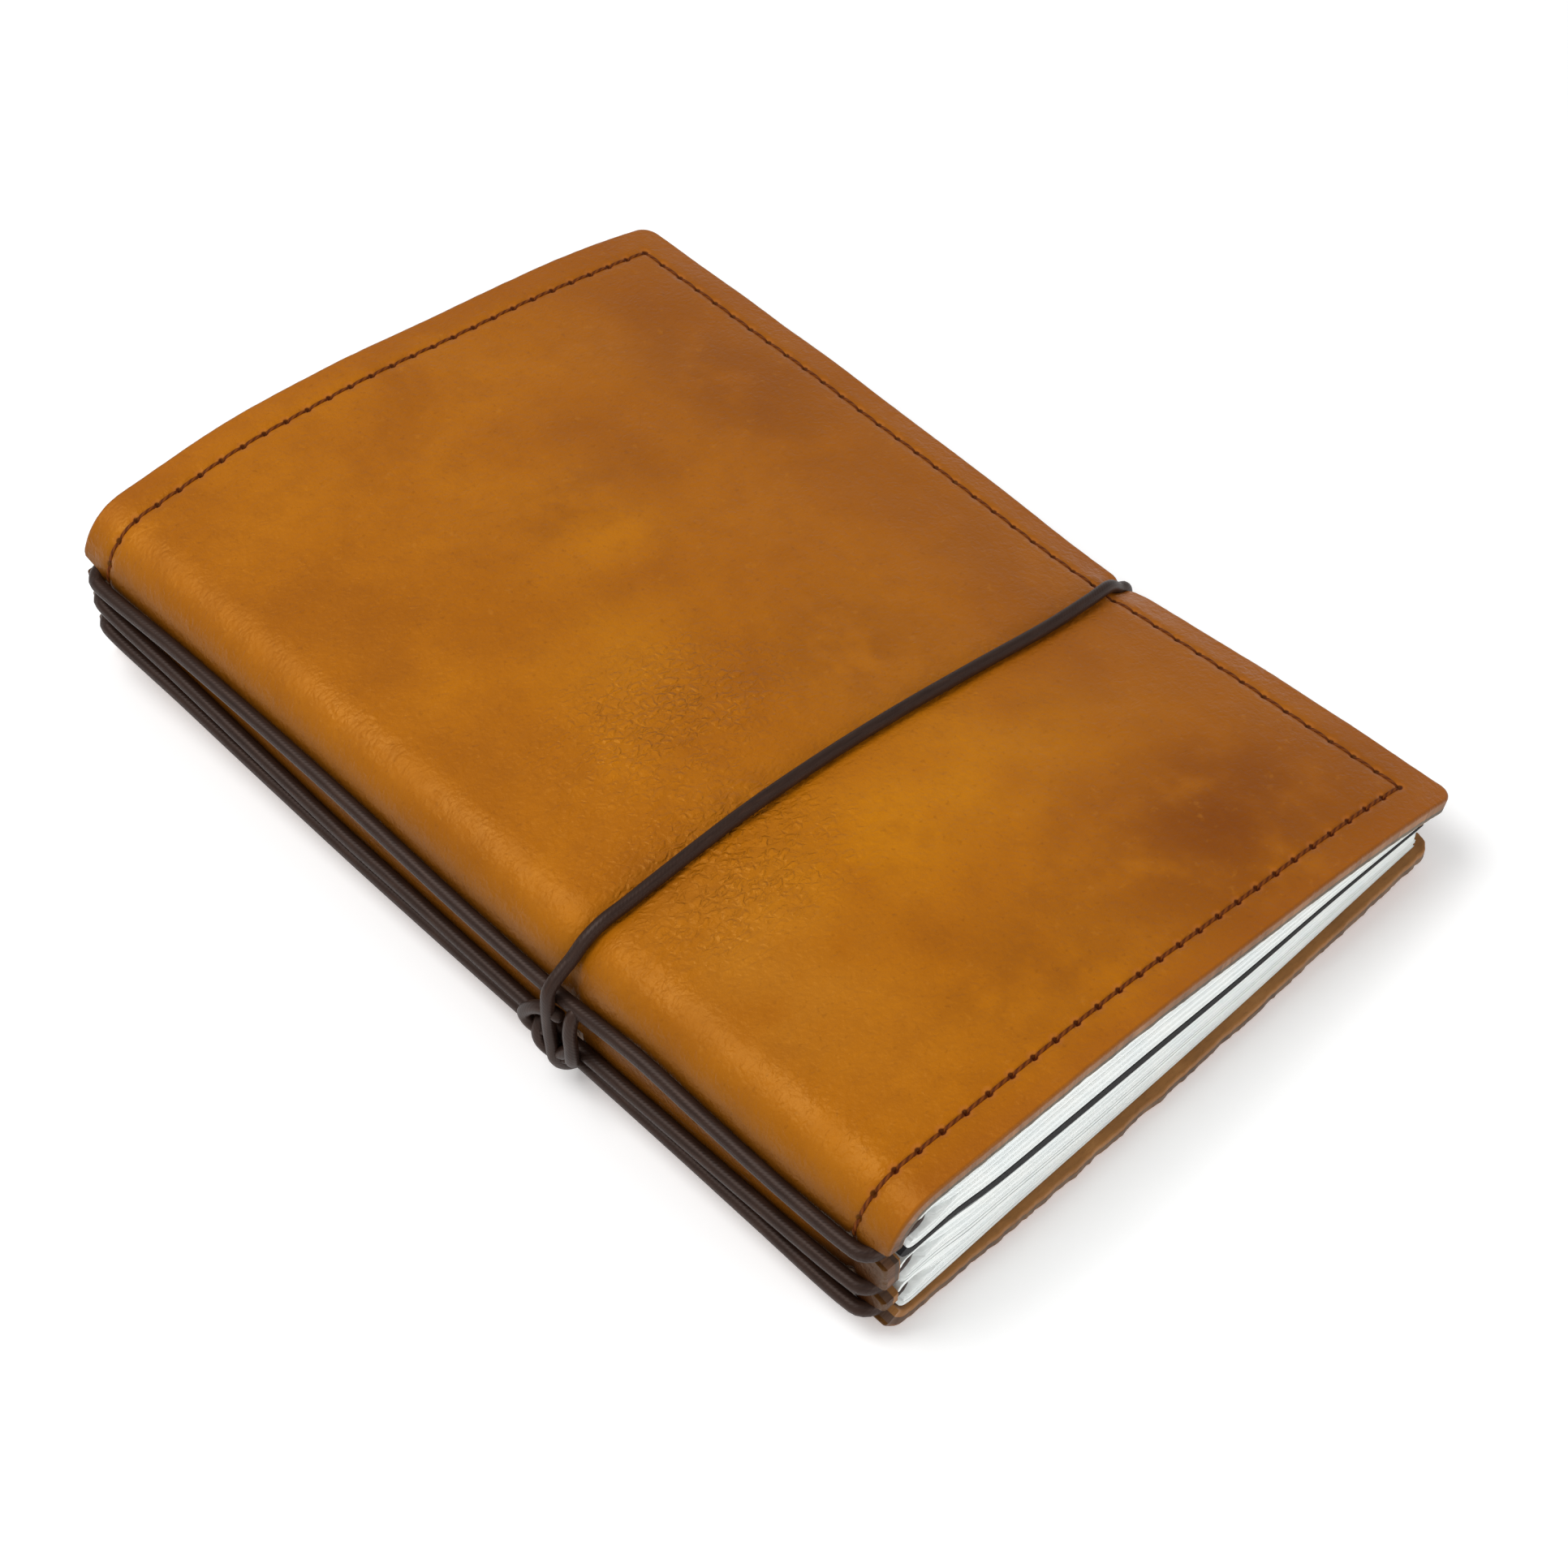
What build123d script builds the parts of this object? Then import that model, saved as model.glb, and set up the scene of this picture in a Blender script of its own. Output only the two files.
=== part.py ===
"""Leather notebook cover with three paper inserts, spine elastics and a closure band.

The notebook lies closed on its back cover. X runs from the spine to the fore edge,
Y from the tail to the head, and Z up. The origin is under the middle of the notebook.
Every section below is drawn in the XZ plane and carried along Y.
"""
from build123d import *
from math import acos, asin, cos, degrees, radians, sin, sqrt
import os

# ---------------------------------------------------------------- cover, mm
cover_height = 143.0        # tail edge to head edge
cover_width = 97.5          # spine face to the front cover's fore edge
back_setback = 2.5          # back cover's fore edge short of the front's
fore_edge_height = 10.0     # outer face of the front cover at its fore edge
upper_fold_radius = 7.3     # outside radius of the fold between spine and front
lower_fold_radius = 4.9     # outside radius of the fold between spine and back
leather = 1.5               # outer leather
lining = 0.9                # lining leather
corner_radius = 4.0         # rounded fore corners
fold_gap = 0.3              # slit where the rigid panels meet in a fold

# ---------------------------------------------------------------- stitching
stitch_pitch = 3.5
stitch_inset = 5.0          # row to cut edge
stitch_length = 2.7
stitch_width = 0.6
stitch_height = 0.2
stitch_play = 0.05          # round the stitches let into the back

# ---------------------------------------------------------------- elastic cord
cord = 1.9                  # diameter of every elastic
cord_gap = 0.1              # elastic to what carries it
band_gap = 0.35             # closure band to the leather
band_y = -20.7              # where the band crosses the covers
groove_play = 0.25          # each side of the band in the furrow under the back cover
notch_depth = 1.2           # notches in the spine's ends that hold the elastics
notch_play = 0.3            # each side of an elastic in its notch
loop_bend = 1.5             # bend radius of an elastic round the spine's end
band_bend = 1.6             # bend radius of the band at the cut edges
knot_gap = 0.4              # between the band and the turns of its hitch

# ---------------------------------------------------------------- paper inserts
end_margin = 1.5            # cover beyond the inserts at head and tail
fore_margin = 2.3           # back cover beyond the lower inserts at the fore edge
card = 0.3                  # card cover of an insert
first_wall = 1.95           # paper and card round the elastic in each insert's fold
second_wall = 1.25
third_wall = 0.8
fore_gap = 0.25             # between inserts at the fore edge
second_fore = 1.3           # thickness of the lower inserts at the fore edge
third_fore = 1.2
insert_seat = 0.25          # lowest insert to the lining
second_seat = 0.15          # second insert to the third, at the fold
first_seat = 1.3            # first insert to the second, at the fold
fold_clearance = 0.36       # first insert to the fold's inner corner, cover open
cover_clearance = 0.7       # first insert to the front lining
lining_to_fold = 0.8        # lining to the second and third inserts' folds
strand_play = 0.3           # elastic to the paper round it
staple_wire = 0.5
staple_bend = 0.5
staple_turn = 4.0           # length of a staple's folded end
staple_length = 12.0
staple_y = 38.0             # staples sit this far from the middle
staple_play = 0.05          # staple to the paper round it

# ---------------------------------------------------------------- derived places
shell = leather + lining
half_height = cover_height / 2
band_stack = 2 * cord + cord_gap + 0.25         # elastics and band outside the spine
edge_stack = cord + band_gap                    # band outside the fore edge
spine_x = -(cover_width + edge_stack - band_stack) / 2
fore_x = spine_x + cover_width
back_fore_x = fore_x - back_setback

# The inserts are stacked on the back lining, each folded round its elastic.
first_fold = cord + 2 * (strand_play + first_wall)
second_fold = cord + 2 * (strand_play + second_wall)
third_fold = cord + 2 * (strand_play + third_wall)
third_z = shell + insert_seat + third_fold / 2
second_z = third_z + third_fold / 2 + second_seat + second_fold / 2
first_z = second_z + second_fold / 2 + first_seat + first_fold / 2
first_top = first_z + first_fold / 2
third_x = spine_x + shell + lining_to_fold + third_fold / 2
second_x = spine_x + shell + lining_to_fold + second_fold / 2

# The cover wraps the stack; the first insert clears the fold's inner corner as it opens.
upper_x = spine_x + upper_fold_radius           # the folds' arc centres
upper_z = first_top + fold_clearance - (upper_fold_radius - shell) * cos(radians(45))
book_thickness = upper_z + upper_fold_radius
lower_x = spine_x + lower_fold_radius
lower_z = lower_fold_radius

# The front panel is one long arc, level where it leaves the fold.
panel_drop = book_thickness - fore_edge_height
panel_run = fore_x - upper_x
panel_radius = (panel_run**2 + panel_drop**2) / (2 * panel_drop)
panel_angle = degrees(asin(panel_run / panel_radius))
panel_centre = (upper_x, book_thickness - panel_radius)

# Hinge lines keep the leather's length when a fold is laid flat.
hinge_in = 1 - 0.7854
hinge_up = 0.7854
upper_hinge = (spine_x + hinge_in * upper_fold_radius, upper_z + hinge_up * upper_fold_radius)
lower_hinge = (spine_x + hinge_in * lower_fold_radius, lower_z - hinge_up * lower_fold_radius)
first_x = upper_hinge[0] + (upper_hinge[1] - first_z)

# Elastics: each one's outer run lies against the spine, opposite the fold it holds.
outer_strand_x = spine_x - cord / 2 - cord_gap
notch_width = cord + 2 * notch_play
notch_end = half_height - notch_depth
strand_end = notch_end + cord / 2 + cord_gap
insert_height = cover_height - 2 * end_margin
insert_width = cover_width - back_setback - shell - lining_to_fold - fore_margin

# Heights of the inserts at the fore edge, from the back lining up.
third_low = shell + insert_seat
third_high = third_low + third_fore
second_low = third_high + fore_gap
second_high = second_low + second_fore
first_low = second_high + fore_gap

# Closure band: its middle line outside the leather, the elastics and the cut edges.
band_lift = cord / 2 + band_gap
band_x = outer_strand_x - cord - 0.25
band_level = cord / 2 + cord_gap / 2
groove_width = cord + 2 * groove_play
groove_depth = cord + cord_gap
turn_step = cord + knot_gap
knot_turns_y = (band_y + turn_step, band_y + 2 * turn_step)


def ring_sector(centre, outer, inner, start, size):
    """Face between two arcs with one centre."""
    with BuildLine() as outline:
        a = CenterArc(centre, outer, start, size)
        b = CenterArc(centre, inner, start, size)
        Line(a @ 0, b @ 0)
        Line(a @ 1, b @ 1)
    make_face(outline.edges())


def strip(x_low, x_high, z_low, z_high):
    """Upright rectangle given by its corners."""
    middle = ((x_low + x_high) / 2, (z_low + z_high) / 2)
    with Locations(middle):
        Rectangle(x_high - x_low, z_high - z_low)


def slit_angle(radius):
    """Half of the slit in a fold, as an angle at this radius."""
    return degrees(fold_gap / 2 / radius)


def front_section(near, far):
    """Front panel and its half of the upper fold, between two depths in the skin."""
    slit = slit_angle(upper_fold_radius - far)
    ring_sector(panel_centre, panel_radius - near, panel_radius - far, 90 - panel_angle, panel_angle)
    centre = (upper_x, upper_z)
    ring_sector(centre, upper_fold_radius - near, upper_fold_radius - far, 90, 45 - slit)


def spine_section(near, far):
    """Spine and its halves of both folds."""
    slit = slit_angle(upper_fold_radius - far)
    centre = (upper_x, upper_z)
    ring_sector(centre, upper_fold_radius - near, upper_fold_radius - far, 135 + slit, 45 - slit)
    strip(spine_x + near, spine_x + far, lower_z, upper_z)
    slit = slit_angle(lower_fold_radius - far)
    centre = (lower_x, lower_z)
    ring_sector(centre, lower_fold_radius - near, lower_fold_radius - far, 180, 45 - slit)


def back_section(near, far):
    """Back panel and its half of the lower fold."""
    slit = slit_angle(lower_fold_radius - far)
    centre = (lower_x, lower_z)
    ring_sector(centre, lower_fold_radius - near, lower_fold_radius - far, 225 + slit, 45 - slit)
    strip(lower_x, back_fore_x, near, far)


def skin(section, near, far):
    """Carry a section of the cover from tail to head."""
    with BuildSketch(Plane.XZ) as profile:
        section(near, far)
    extrude(profile.sketch, amount=half_height, both=True)


def corner_cut(edge_x):
    """Round the fore corners with a vertical tool on each corner."""
    for side in (-1, 1):
        with BuildSketch(Plane.XY.offset(-1)) as corner:
            with BuildLine():
                tip = (edge_x + 1, side * (half_height + 1))
                a = (edge_x + 1, side * (half_height - corner_radius))
                b = (edge_x, side * (half_height - corner_radius))
                c = (edge_x - corner_radius, side * half_height)
                d = (edge_x - corner_radius, side * (half_height + 1))
                middle = corner_radius * (1 - cos(radians(45)))
                m = (edge_x - middle, side * (half_height - middle))
                Polyline(b, a, tip, d, c)
                ThreePointArc(c, m, b)
            make_face()
        extrude(corner.sketch, amount=book_thickness + 2, mode=Mode.SUBTRACT)


def spine_notches():
    """Notches in both ends of the spine, one for each elastic."""
    for z in (first_z, second_z, third_z):
        for side in (-1, 1):
            with Locations((spine_x, side * half_height, z)):
                Box(4 * shell, 2 * notch_depth, notch_width, mode=Mode.SUBTRACT)


def band_groove():
    """Furrow across the underside that lets the band lie level with the leather."""
    middle = (spine_x + fore_x) / 2
    with Locations((middle, band_y, 0)):
        Box(cover_width + 10, groove_width, 2 * groove_depth, mode=Mode.SUBTRACT)


def write(part, name):
    part.label = name
    export_step(part, f"parts/{name}.step")


def make_cover():
    layers = (("leather", 0.0, leather), ("lining", leather, shell))
    for layer, near, far in layers:
        with BuildPart() as front:
            skin(front_section, near, far)
            corner_cut(fore_x)
        write(front.part, f"front_{layer}")
        with BuildPart() as spine:
            skin(spine_section, near, far)
            spine_notches()
            band_groove()
        write(spine.part, f"spine_{layer}")
        with BuildPart() as back:
            skin(back_section, near, far)
            corner_cut(back_fore_x)
            band_groove()
            if layer == "leather":
                back_stitch_pockets()
        write(back.part, f"back_{layer}")


# ---------------------------------------------------------------- stitching
def row_places(length):
    """Middles of the stitches along a row of this length."""
    return [(i + 0.5) * stitch_pitch for i in range(int(length / stitch_pitch))]


def lay_stitch(x, y, z, tilt, along_y):
    """One stitch lying on the leather, its outside turned by tilt about Y."""
    length, width = (stitch_width, stitch_length) if along_y else (stitch_length, stitch_width)
    with Locations(Location((x, y, z), (0, tilt, 0))):
        Box(length, width, stitch_height)


def on_front(run):
    """Place and tilt of a stitch this far along the front panel from the fold."""
    turn = run / panel_radius
    reach = panel_radius + stitch_height / 2
    x = panel_centre[0] + reach * sin(turn)
    z = panel_centre[1] + reach * cos(turn)
    return x, z, degrees(turn)


def make_front_thread():
    row_y = half_height - stitch_inset
    row_end = radians(panel_angle) * panel_radius - stitch_inset
    x, z, tilt = on_front(row_end)
    with BuildPart() as thread:
        for run in row_places(2 * row_y):
            lay_stitch(x, run - row_y, z, tilt, True)
        for run in row_places(row_end):
            x, z, tilt = on_front(run)
            for side in (-1, 1):
                lay_stitch(x, side * row_y, z, tilt, False)
    write(thread.part, "front_thread")


def make_spine_thread():
    """Short rows between the elastics, at both ends of the spine."""
    row_y = half_height - stitch_inset
    middles = ((second_z + first_z) / 2, (third_z + second_z) / 2)
    with BuildPart() as thread:
        for z in middles:
            for side in (-1, 1):
                lay_stitch(spine_x - stitch_height / 2, side * row_y, z, -90, False)
    write(thread.part, "spine_thread")


def back_stitches():
    """Middle of each stitch on the underside, and whether it runs along Y."""
    row_y = half_height - stitch_inset
    row_x = back_fore_x - stitch_inset
    clear = (groove_width + stitch_length) / 2 + stitch_play
    along = [(row_x, run - row_y, True) for run in row_places(2 * row_y)]
    along = [place for place in along if abs(place[1] - band_y) > clear]
    across = [(lower_x + run, row_y, False) for run in row_places(row_x - lower_x)]
    return along + across + [(x, -y, flat) for x, y, flat in across]


def make_back_thread():
    with BuildPart() as thread:
        for x, y, along_y in back_stitches():
            lay_stitch(x, y, stitch_height / 2, 0, along_y)
    write(thread.part, "back_thread")


def back_stitch_pockets():
    """Dents that the back's thread has pulled into the leather."""
    long = stitch_length + 2 * stitch_play
    wide = stitch_width + 2 * stitch_play
    for x, y, along_y in back_stitches():
        size = (wide, long) if along_y else (long, wide)
        with Locations((x, y, 0)):
            Box(*size, 2 * stitch_height, mode=Mode.SUBTRACT)


# ---------------------------------------------------------------- elastics
def cord_sweep(path):
    """Round cord along a path of straight runs and tangent arcs."""
    with BuildSketch(Plane(origin=path @ 0, z_dir=path % 0)) as section:
        Circle(cord / 2)
    sweep(section.sketch, path=path)


def make_elastics():
    split_x = spine_x + shell + 0.3
    level = Plane.XY.offset(first_z)
    corners = [(outer_strand_x, -strand_end), (outer_strand_x, strand_end)]
    corners += [(first_x, strand_end), (first_x, -strand_end)]
    with BuildPart() as loop:
        with BuildLine(level) as path:
            ring = FilletPolyline(*corners, radius=loop_bend, close=True)
        cord_sweep(ring)
    write(loop.part, "first_elastic")
    for name, inner_x, z in (("second", second_x, second_z), ("third", third_x, third_z)):
        level = Plane.XY.offset(z)
        outside = [(split_x, -strand_end), (outer_strand_x, -strand_end)]
        outside += [(outer_strand_x, strand_end), (split_x, strand_end)]
        with BuildPart() as outer:
            with BuildLine(level):
                run = FilletPolyline(*outside, radius=loop_bend)
            cord_sweep(run)
        write(outer.part, f"{name}_elastic_outside")
        inside = [(split_x, -strand_end), (inner_x, -strand_end)]
        inside += [(inner_x, strand_end), (split_x, strand_end)]
        with BuildPart() as inner:
            with BuildLine(level):
                run = FilletPolyline(*inside, radius=loop_bend)
            cord_sweep(run)
        write(inner.part, f"{name}_elastic_inside")


def make_band():
    tilt = radians(panel_angle)
    reach = panel_radius + band_lift
    edge = (panel_centre[0] + reach * sin(tilt), panel_centre[1] + reach * cos(tilt))
    turn = 1.5 * band_bend
    upper_edge = (edge[0] + turn * cos(tilt), edge[1] - turn * sin(tilt))
    lower_edge = (back_fore_x + turn, band_level)
    fold_turn = upper_x - band_x
    fold_centre = (upper_x, book_thickness + band_lift - fold_turn)
    corners = [(band_x, fold_centre[1]), (band_x, band_level), lower_edge, upper_edge, edge]
    with BuildPart() as band:
        with BuildLine(Plane.XZ.offset(-band_y)) as path:
            CenterArc(panel_centre, reach, 90 - panel_angle, panel_angle)
            CenterArc(fold_centre, fold_turn, 90, 90)
            FilletPolyline(*corners, radius=band_bend)
        cord_sweep(path.wire())
    write(band.part, "closure_band")


def make_knot():
    high = second_z + cord + cord_gap
    low = third_z - cord - cord_gap
    start = spine_x - cord_gap
    corners = [(start, high), (band_x, high), (band_x, low), (start, low)]
    with BuildPart() as knot:
        for y in knot_turns_y:
            with BuildLine(Plane.XZ.offset(-y)):
                turn = FilletPolyline(*corners, radius=loop_bend)
            cord_sweep(turn)
    write(knot.part, "closure_knot")


# ---------------------------------------------------------------- paper inserts
class Insert:
    """One folded booklet: where its fold lies and how it tapers to the fore edge."""

    def __init__(self, name, x, z, fold, low, high):
        self.name = name
        self.x = x
        self.z = z
        self.half = fold / 2
        self.fore = x - self.half + insert_width
        self.low = low
        self.high = high


def fold_side(insert, inset):
    """Rounded back of an insert, from its underside to its top."""
    reach = insert.half - inset
    return CenterArc((insert.x, insert.z), reach, 90, 180)


def flat_outline(insert, inset):
    """Section of an insert with straight sides."""
    with BuildLine() as outline:
        back = fold_side(insert, inset)
        low = (insert.fore, insert.low + inset)
        high = (insert.fore, insert.high - inset)
        Polyline(back @ 1, low, high, back @ 0)
    make_face(outline.edges())


def arched_outline(insert, inset):
    """Section of the first insert, whose top follows the front cover."""
    reach = panel_radius - shell - cover_clearance - inset
    top = insert.z + insert.half - inset
    fore_turn = asin((insert.fore - panel_centre[0]) / reach)
    level_turn = acos((top - panel_centre[1]) / reach)
    with BuildLine() as outline:
        back = fold_side(insert, inset)
        arch = CenterArc(panel_centre, reach, 90 - degrees(fore_turn), degrees(fore_turn - level_turn))
        Polyline(back @ 1, (insert.fore, insert.low + inset), arch @ 0)
        Line(arch @ 1, back @ 0)
    make_face(outline.edges())


def half_space(insert, upper):
    """Everything above or below the middle leaf of an insert."""
    far = book_thickness if upper else 0.0
    middle = (insert.low + insert.high) / 2
    left = insert.x - 2 * insert.half
    with BuildLine() as outline:
        Polyline(
            (left, insert.z), (insert.x, insert.z), (insert.fore + 1, middle),
            (insert.fore + 1, far), (left, far), (left, insert.z),
        )
    make_face(outline.edges(), mode=Mode.INTERSECT)


def staple_inside(insert):
    """Where the folded ends of the staples lie, in the wall of the middle fold."""
    return insert.x - cord / 2 - strand_play - staple_wire / 2


def staple_holes(insert):
    """Holes through the fold for the staples' legs, and dents for their folded ends."""
    hole = staple_wire + 2 * staple_play
    for middle in (-staple_y, staple_y):
        with Locations((staple_inside(insert), middle, insert.z)):
            Box(hole, staple_length + hole, hole, mode=Mode.SUBTRACT)
        for end in (middle - staple_length / 2, middle + staple_length / 2):
            with Locations((insert.x - insert.half, end, insert.z)):
                Box(2 * insert.half, hole, hole, mode=Mode.SUBTRACT)


def make_insert(insert, outline):
    with BuildPart() as cover:
        with BuildSketch(Plane.XZ) as section:
            outline(insert, 0.0)
            with BuildSketch(Plane.XZ, mode=Mode.PRIVATE) as leaves:
                outline(insert, card)
            add(leaves.sketch, mode=Mode.SUBTRACT)
        extrude(section.sketch, amount=insert_height / 2, both=True)
        staple_holes(insert)
    write(cover.part, f"{insert.name}_card_cover")
    for half_name, upper in (("front", True), ("rear", False)):
        with BuildPart() as half:
            with BuildSketch(Plane.XZ) as section:
                outline(insert, card)
                half_space(insert, upper)
                with Locations((insert.x, insert.z)):
                    Circle(cord / 2 + strand_play, mode=Mode.SUBTRACT)
            extrude(section.sketch, amount=insert_height / 2, both=True)
            staple_holes(insert)
        write(half.part, f"{insert.name}_{half_name}_leaves")


def make_staples(insert):
    """Two wire staples through the fold, crowns outside and ends folded inside."""
    outside = insert.x - insert.half - staple_wire / 2
    inside = staple_inside(insert)
    with BuildPart() as staples:
        for middle in (-staple_y, staple_y):
            low = middle - staple_length / 2
            high = middle + staple_length / 2
            corners = [(inside, low + staple_turn), (inside, low), (outside, low)]
            corners += [(outside, high), (inside, high), (inside, high - staple_turn)]
            with BuildLine(Plane.XY.offset(insert.z)):
                wire = FilletPolyline(*corners, radius=staple_bend)
            with BuildSketch(Plane(origin=wire @ 0, z_dir=wire % 0)) as section:
                Circle(staple_wire / 2)
            sweep(section.sketch, path=wire)
    write(staples.part, f"{insert.name}_staples")


def make_inserts():
    first = Insert("first_insert", first_x, first_z, first_fold, first_low, 0.0)
    reach = panel_radius - shell - cover_clearance
    first.high = panel_centre[1] + sqrt(reach**2 - (first.fore - panel_centre[0]) ** 2)
    second = Insert("second_insert", second_x, second_z, second_fold, second_low, second_high)
    third = Insert("third_insert", third_x, third_z, third_fold, third_low, third_high)
    make_insert(first, arched_outline)
    make_insert(second, flat_outline)
    make_insert(third, flat_outline)
    for insert in (first, second, third):
        make_staples(insert)


if __name__ == "__main__":
    os.makedirs("parts", exist_ok=True)
    make_cover()
    make_front_thread()
    make_spine_thread()
    make_back_thread()
    make_elastics()
    make_band()
    make_knot()
    make_inserts()
    print("upper hinge", upper_hinge, "lower hinge", lower_hinge)
    print("first insert hinge", (first_x, first_z), "levels", third_z, second_z, first_z)
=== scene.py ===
"""Looks of the leather notebook cover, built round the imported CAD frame. Lengths are in mm."""
import math

import bpy
import numpy as np
from mathutils import Matrix, Vector, noise


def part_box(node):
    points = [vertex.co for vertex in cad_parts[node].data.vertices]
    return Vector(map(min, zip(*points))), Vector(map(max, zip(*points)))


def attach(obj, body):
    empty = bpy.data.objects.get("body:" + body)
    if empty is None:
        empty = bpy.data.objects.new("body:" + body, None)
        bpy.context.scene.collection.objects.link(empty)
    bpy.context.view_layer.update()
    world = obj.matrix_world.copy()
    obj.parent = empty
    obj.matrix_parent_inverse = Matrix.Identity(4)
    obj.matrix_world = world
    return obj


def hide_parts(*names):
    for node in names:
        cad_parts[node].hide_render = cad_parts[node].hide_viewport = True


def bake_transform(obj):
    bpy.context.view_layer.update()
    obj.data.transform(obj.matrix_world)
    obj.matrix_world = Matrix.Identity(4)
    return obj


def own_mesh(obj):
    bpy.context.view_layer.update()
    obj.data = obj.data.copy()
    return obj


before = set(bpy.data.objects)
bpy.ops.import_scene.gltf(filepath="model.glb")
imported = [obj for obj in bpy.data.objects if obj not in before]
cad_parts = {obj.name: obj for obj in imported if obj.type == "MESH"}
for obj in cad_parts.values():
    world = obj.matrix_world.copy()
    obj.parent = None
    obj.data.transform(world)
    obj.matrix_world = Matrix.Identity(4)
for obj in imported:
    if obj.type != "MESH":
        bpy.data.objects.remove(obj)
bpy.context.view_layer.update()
MM = 0.001


def limits(node):
    """Lowest and highest corner of a CAD node, in mm."""
    low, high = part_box(node)
    return np.array(low) / MM, np.array(high) / MM


# ---------------------------------------------------------------- sizes read from the frame
SPINE_X = limits("spine_leather")[0][0]
FORE_X = limits("front_leather")[1][0]
BACK_FORE_X = limits("back_leather")[1][0]
HALF = limits("front_leather")[1][1]
TOP = limits("front_leather")[1][2]
STRAND_Z = [sum(corner[2] for corner in limits(n)) / 2 for n in
            ("first_elastic", "second_elastic_outside", "third_elastic_outside")]
CORD = limits("closure_band")[1][1] - limits("closure_band")[0][1]
BAND_Y = (limits("closure_band")[1][1] + limits("closure_band")[0][1]) / 2
TIP_Y = BAND_Y + 1.7  # where the band turns round the fore edge
PAPER_HALF = limits("first_insert_card_cover")[1][1]

LEATHER = 1.5  # thickness of the hide
SHELL = 2.4  # hide and lining together
UPPER_FOLD = 7.3  # outside radius of the fold into the front
LOWER_FOLD = 4.9  # outside radius of the fold into the back
CORNER = 2.3
PITCH = 3.5  # from one stitch hole to the next
INSET = 5.0  # stitch row in from the edge
STEP = PITCH / 7  # mesh step
ROW_Y = HALF - INSET
SEAM_Z = STRAND_Z[1]
HEAD, TAIL = 1, -1  # the sign of Y at the two ends
NOTCH = {HEAD: 3.4, TAIL: 2.8}
END_TAPER = {HEAD: 1.3, TAIL: 0.8}  # how much the hide is short at the fold's ends
RAGGED = {"front": 0.05, "front lining": 0.08, "back": 0.28, "back lining": 0.2}
UV_MM = 100  # the flat UVs are mm over this
UPPER = np.array((SPINE_X + UPPER_FOLD, TOP - UPPER_FOLD))
LOWER = np.array((SPINE_X + LOWER_FOLD, LOWER_FOLD))
# Share of the way across the front, and how far the panel has dropped there.
PANEL_DROP = ((0, 0), (0.08, 0.0), (0.16, 0.05), (0.31, 0.95), (0.47, 2.75), (0.63, 5.15),
              (0.785, 7.7), (0.94, 10.95), (1, 12.7))


def smooth(low, high, value):
    t = np.clip((np.asarray(value, float) - low) / (high - low), 0, 1)
    return t * t * (3 - 2 * t)


def curve(points, at):
    """Smooth curve through listed points, read at the given places."""
    p = np.array(points, float)
    slope = np.gradient(p[:, 1], p[:, 0])
    slope[0] = 0 if abs(p[1, 1] - p[0, 1]) < 1e-9 else slope[0]
    at = np.clip(np.asarray(at, float), p[0, 0], p[-1, 0])
    i = np.clip(np.searchsorted(p[:, 0], at) - 1, 0, len(p) - 2)
    w = p[i + 1, 0] - p[i, 0]
    t = (at - p[i, 0]) / w
    a, b = p[i, 1], p[i + 1, 1]
    return (a * (1 + 2 * t) * (1 - t) ** 2 + b * t * t * (3 - 2 * t)
            + slope[i] * w * t * (1 - t) ** 2 - slope[i + 1] * w * t * t * (1 - t))


def fbm(x, y, scale, seed, octaves=3):
    """Smooth noise on the flattened leather, about -1 to 1."""
    flat = np.stack([np.ravel(x), np.ravel(y)], 1) / scale
    values = [noise.fractal((a, b, seed), 0.7, 2.1, octaves) for a, b in flat]
    return np.array(values).reshape(np.shape(x))


class Path:
    """Outside of the cover in section, by length from the seam in the middle of the spine."""

    def __init__(self, points):
        p = np.array(points, float)
        keep = np.concatenate([[True], np.linalg.norm(np.diff(p, axis=0), axis=1) > 1e-6])
        self.p = p[keep]
        step = np.linalg.norm(np.diff(self.p, axis=0), axis=1)
        self.length = np.concatenate([[0], np.cumsum(step)])
        self.end = self.length[-1]

    def at(self, s):
        """X, Z and the outward direction."""
        x = np.interp(s, self.length, self.p[:, 0])
        z = np.interp(s, self.length, self.p[:, 1])
        reach = 0.4
        along = [np.interp(s + reach, self.length, k) - np.interp(s - reach, self.length, k) for k in self.p.T]
        size = np.hypot(*along)
        return x, z, -along[1] / size, along[0] / size

    def length_at_x(self, x, after):
        keep = self.length > after
        return float(np.interp(x, self.p[keep, 0], self.length[keep]))


def arc(centre, radius, start, end, count=60):
    turn = np.radians(np.linspace(start, end, count))
    return [(centre[0] + radius * math.cos(a), centre[1] + radius * math.sin(a)) for a in turn]


def panel_z(x):
    share = (np.asarray(x, float) - UPPER[0]) / (FORE_X - UPPER[0])
    return TOP - curve(PANEL_DROP, share)


def front_path():
    points = [(SPINE_X, z) for z in np.linspace(SEAM_Z, UPPER[1], 20)]
    points += arc(UPPER, UPPER_FOLD, 180, 90)
    xs = np.linspace(UPPER[0], FORE_X, 400)
    return Path(points + list(zip(xs, panel_z(xs))))


def back_path():
    points = [(SPINE_X, z) for z in np.linspace(SEAM_Z, LOWER[1], 20)]
    points += arc(LOWER, LOWER_FOLD, 180, 270)
    return Path(points + [(x, 0.0) for x in np.linspace(LOWER[0], BACK_FORE_X, 200)])


FRONT = front_path()
BACK = back_path()
FRONT_ROW = FRONT.length_at_x(FORE_X - INSET, 20)
BACK_ROW = BACK.length_at_x(BACK_FORE_X - INSET, 14)


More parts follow.
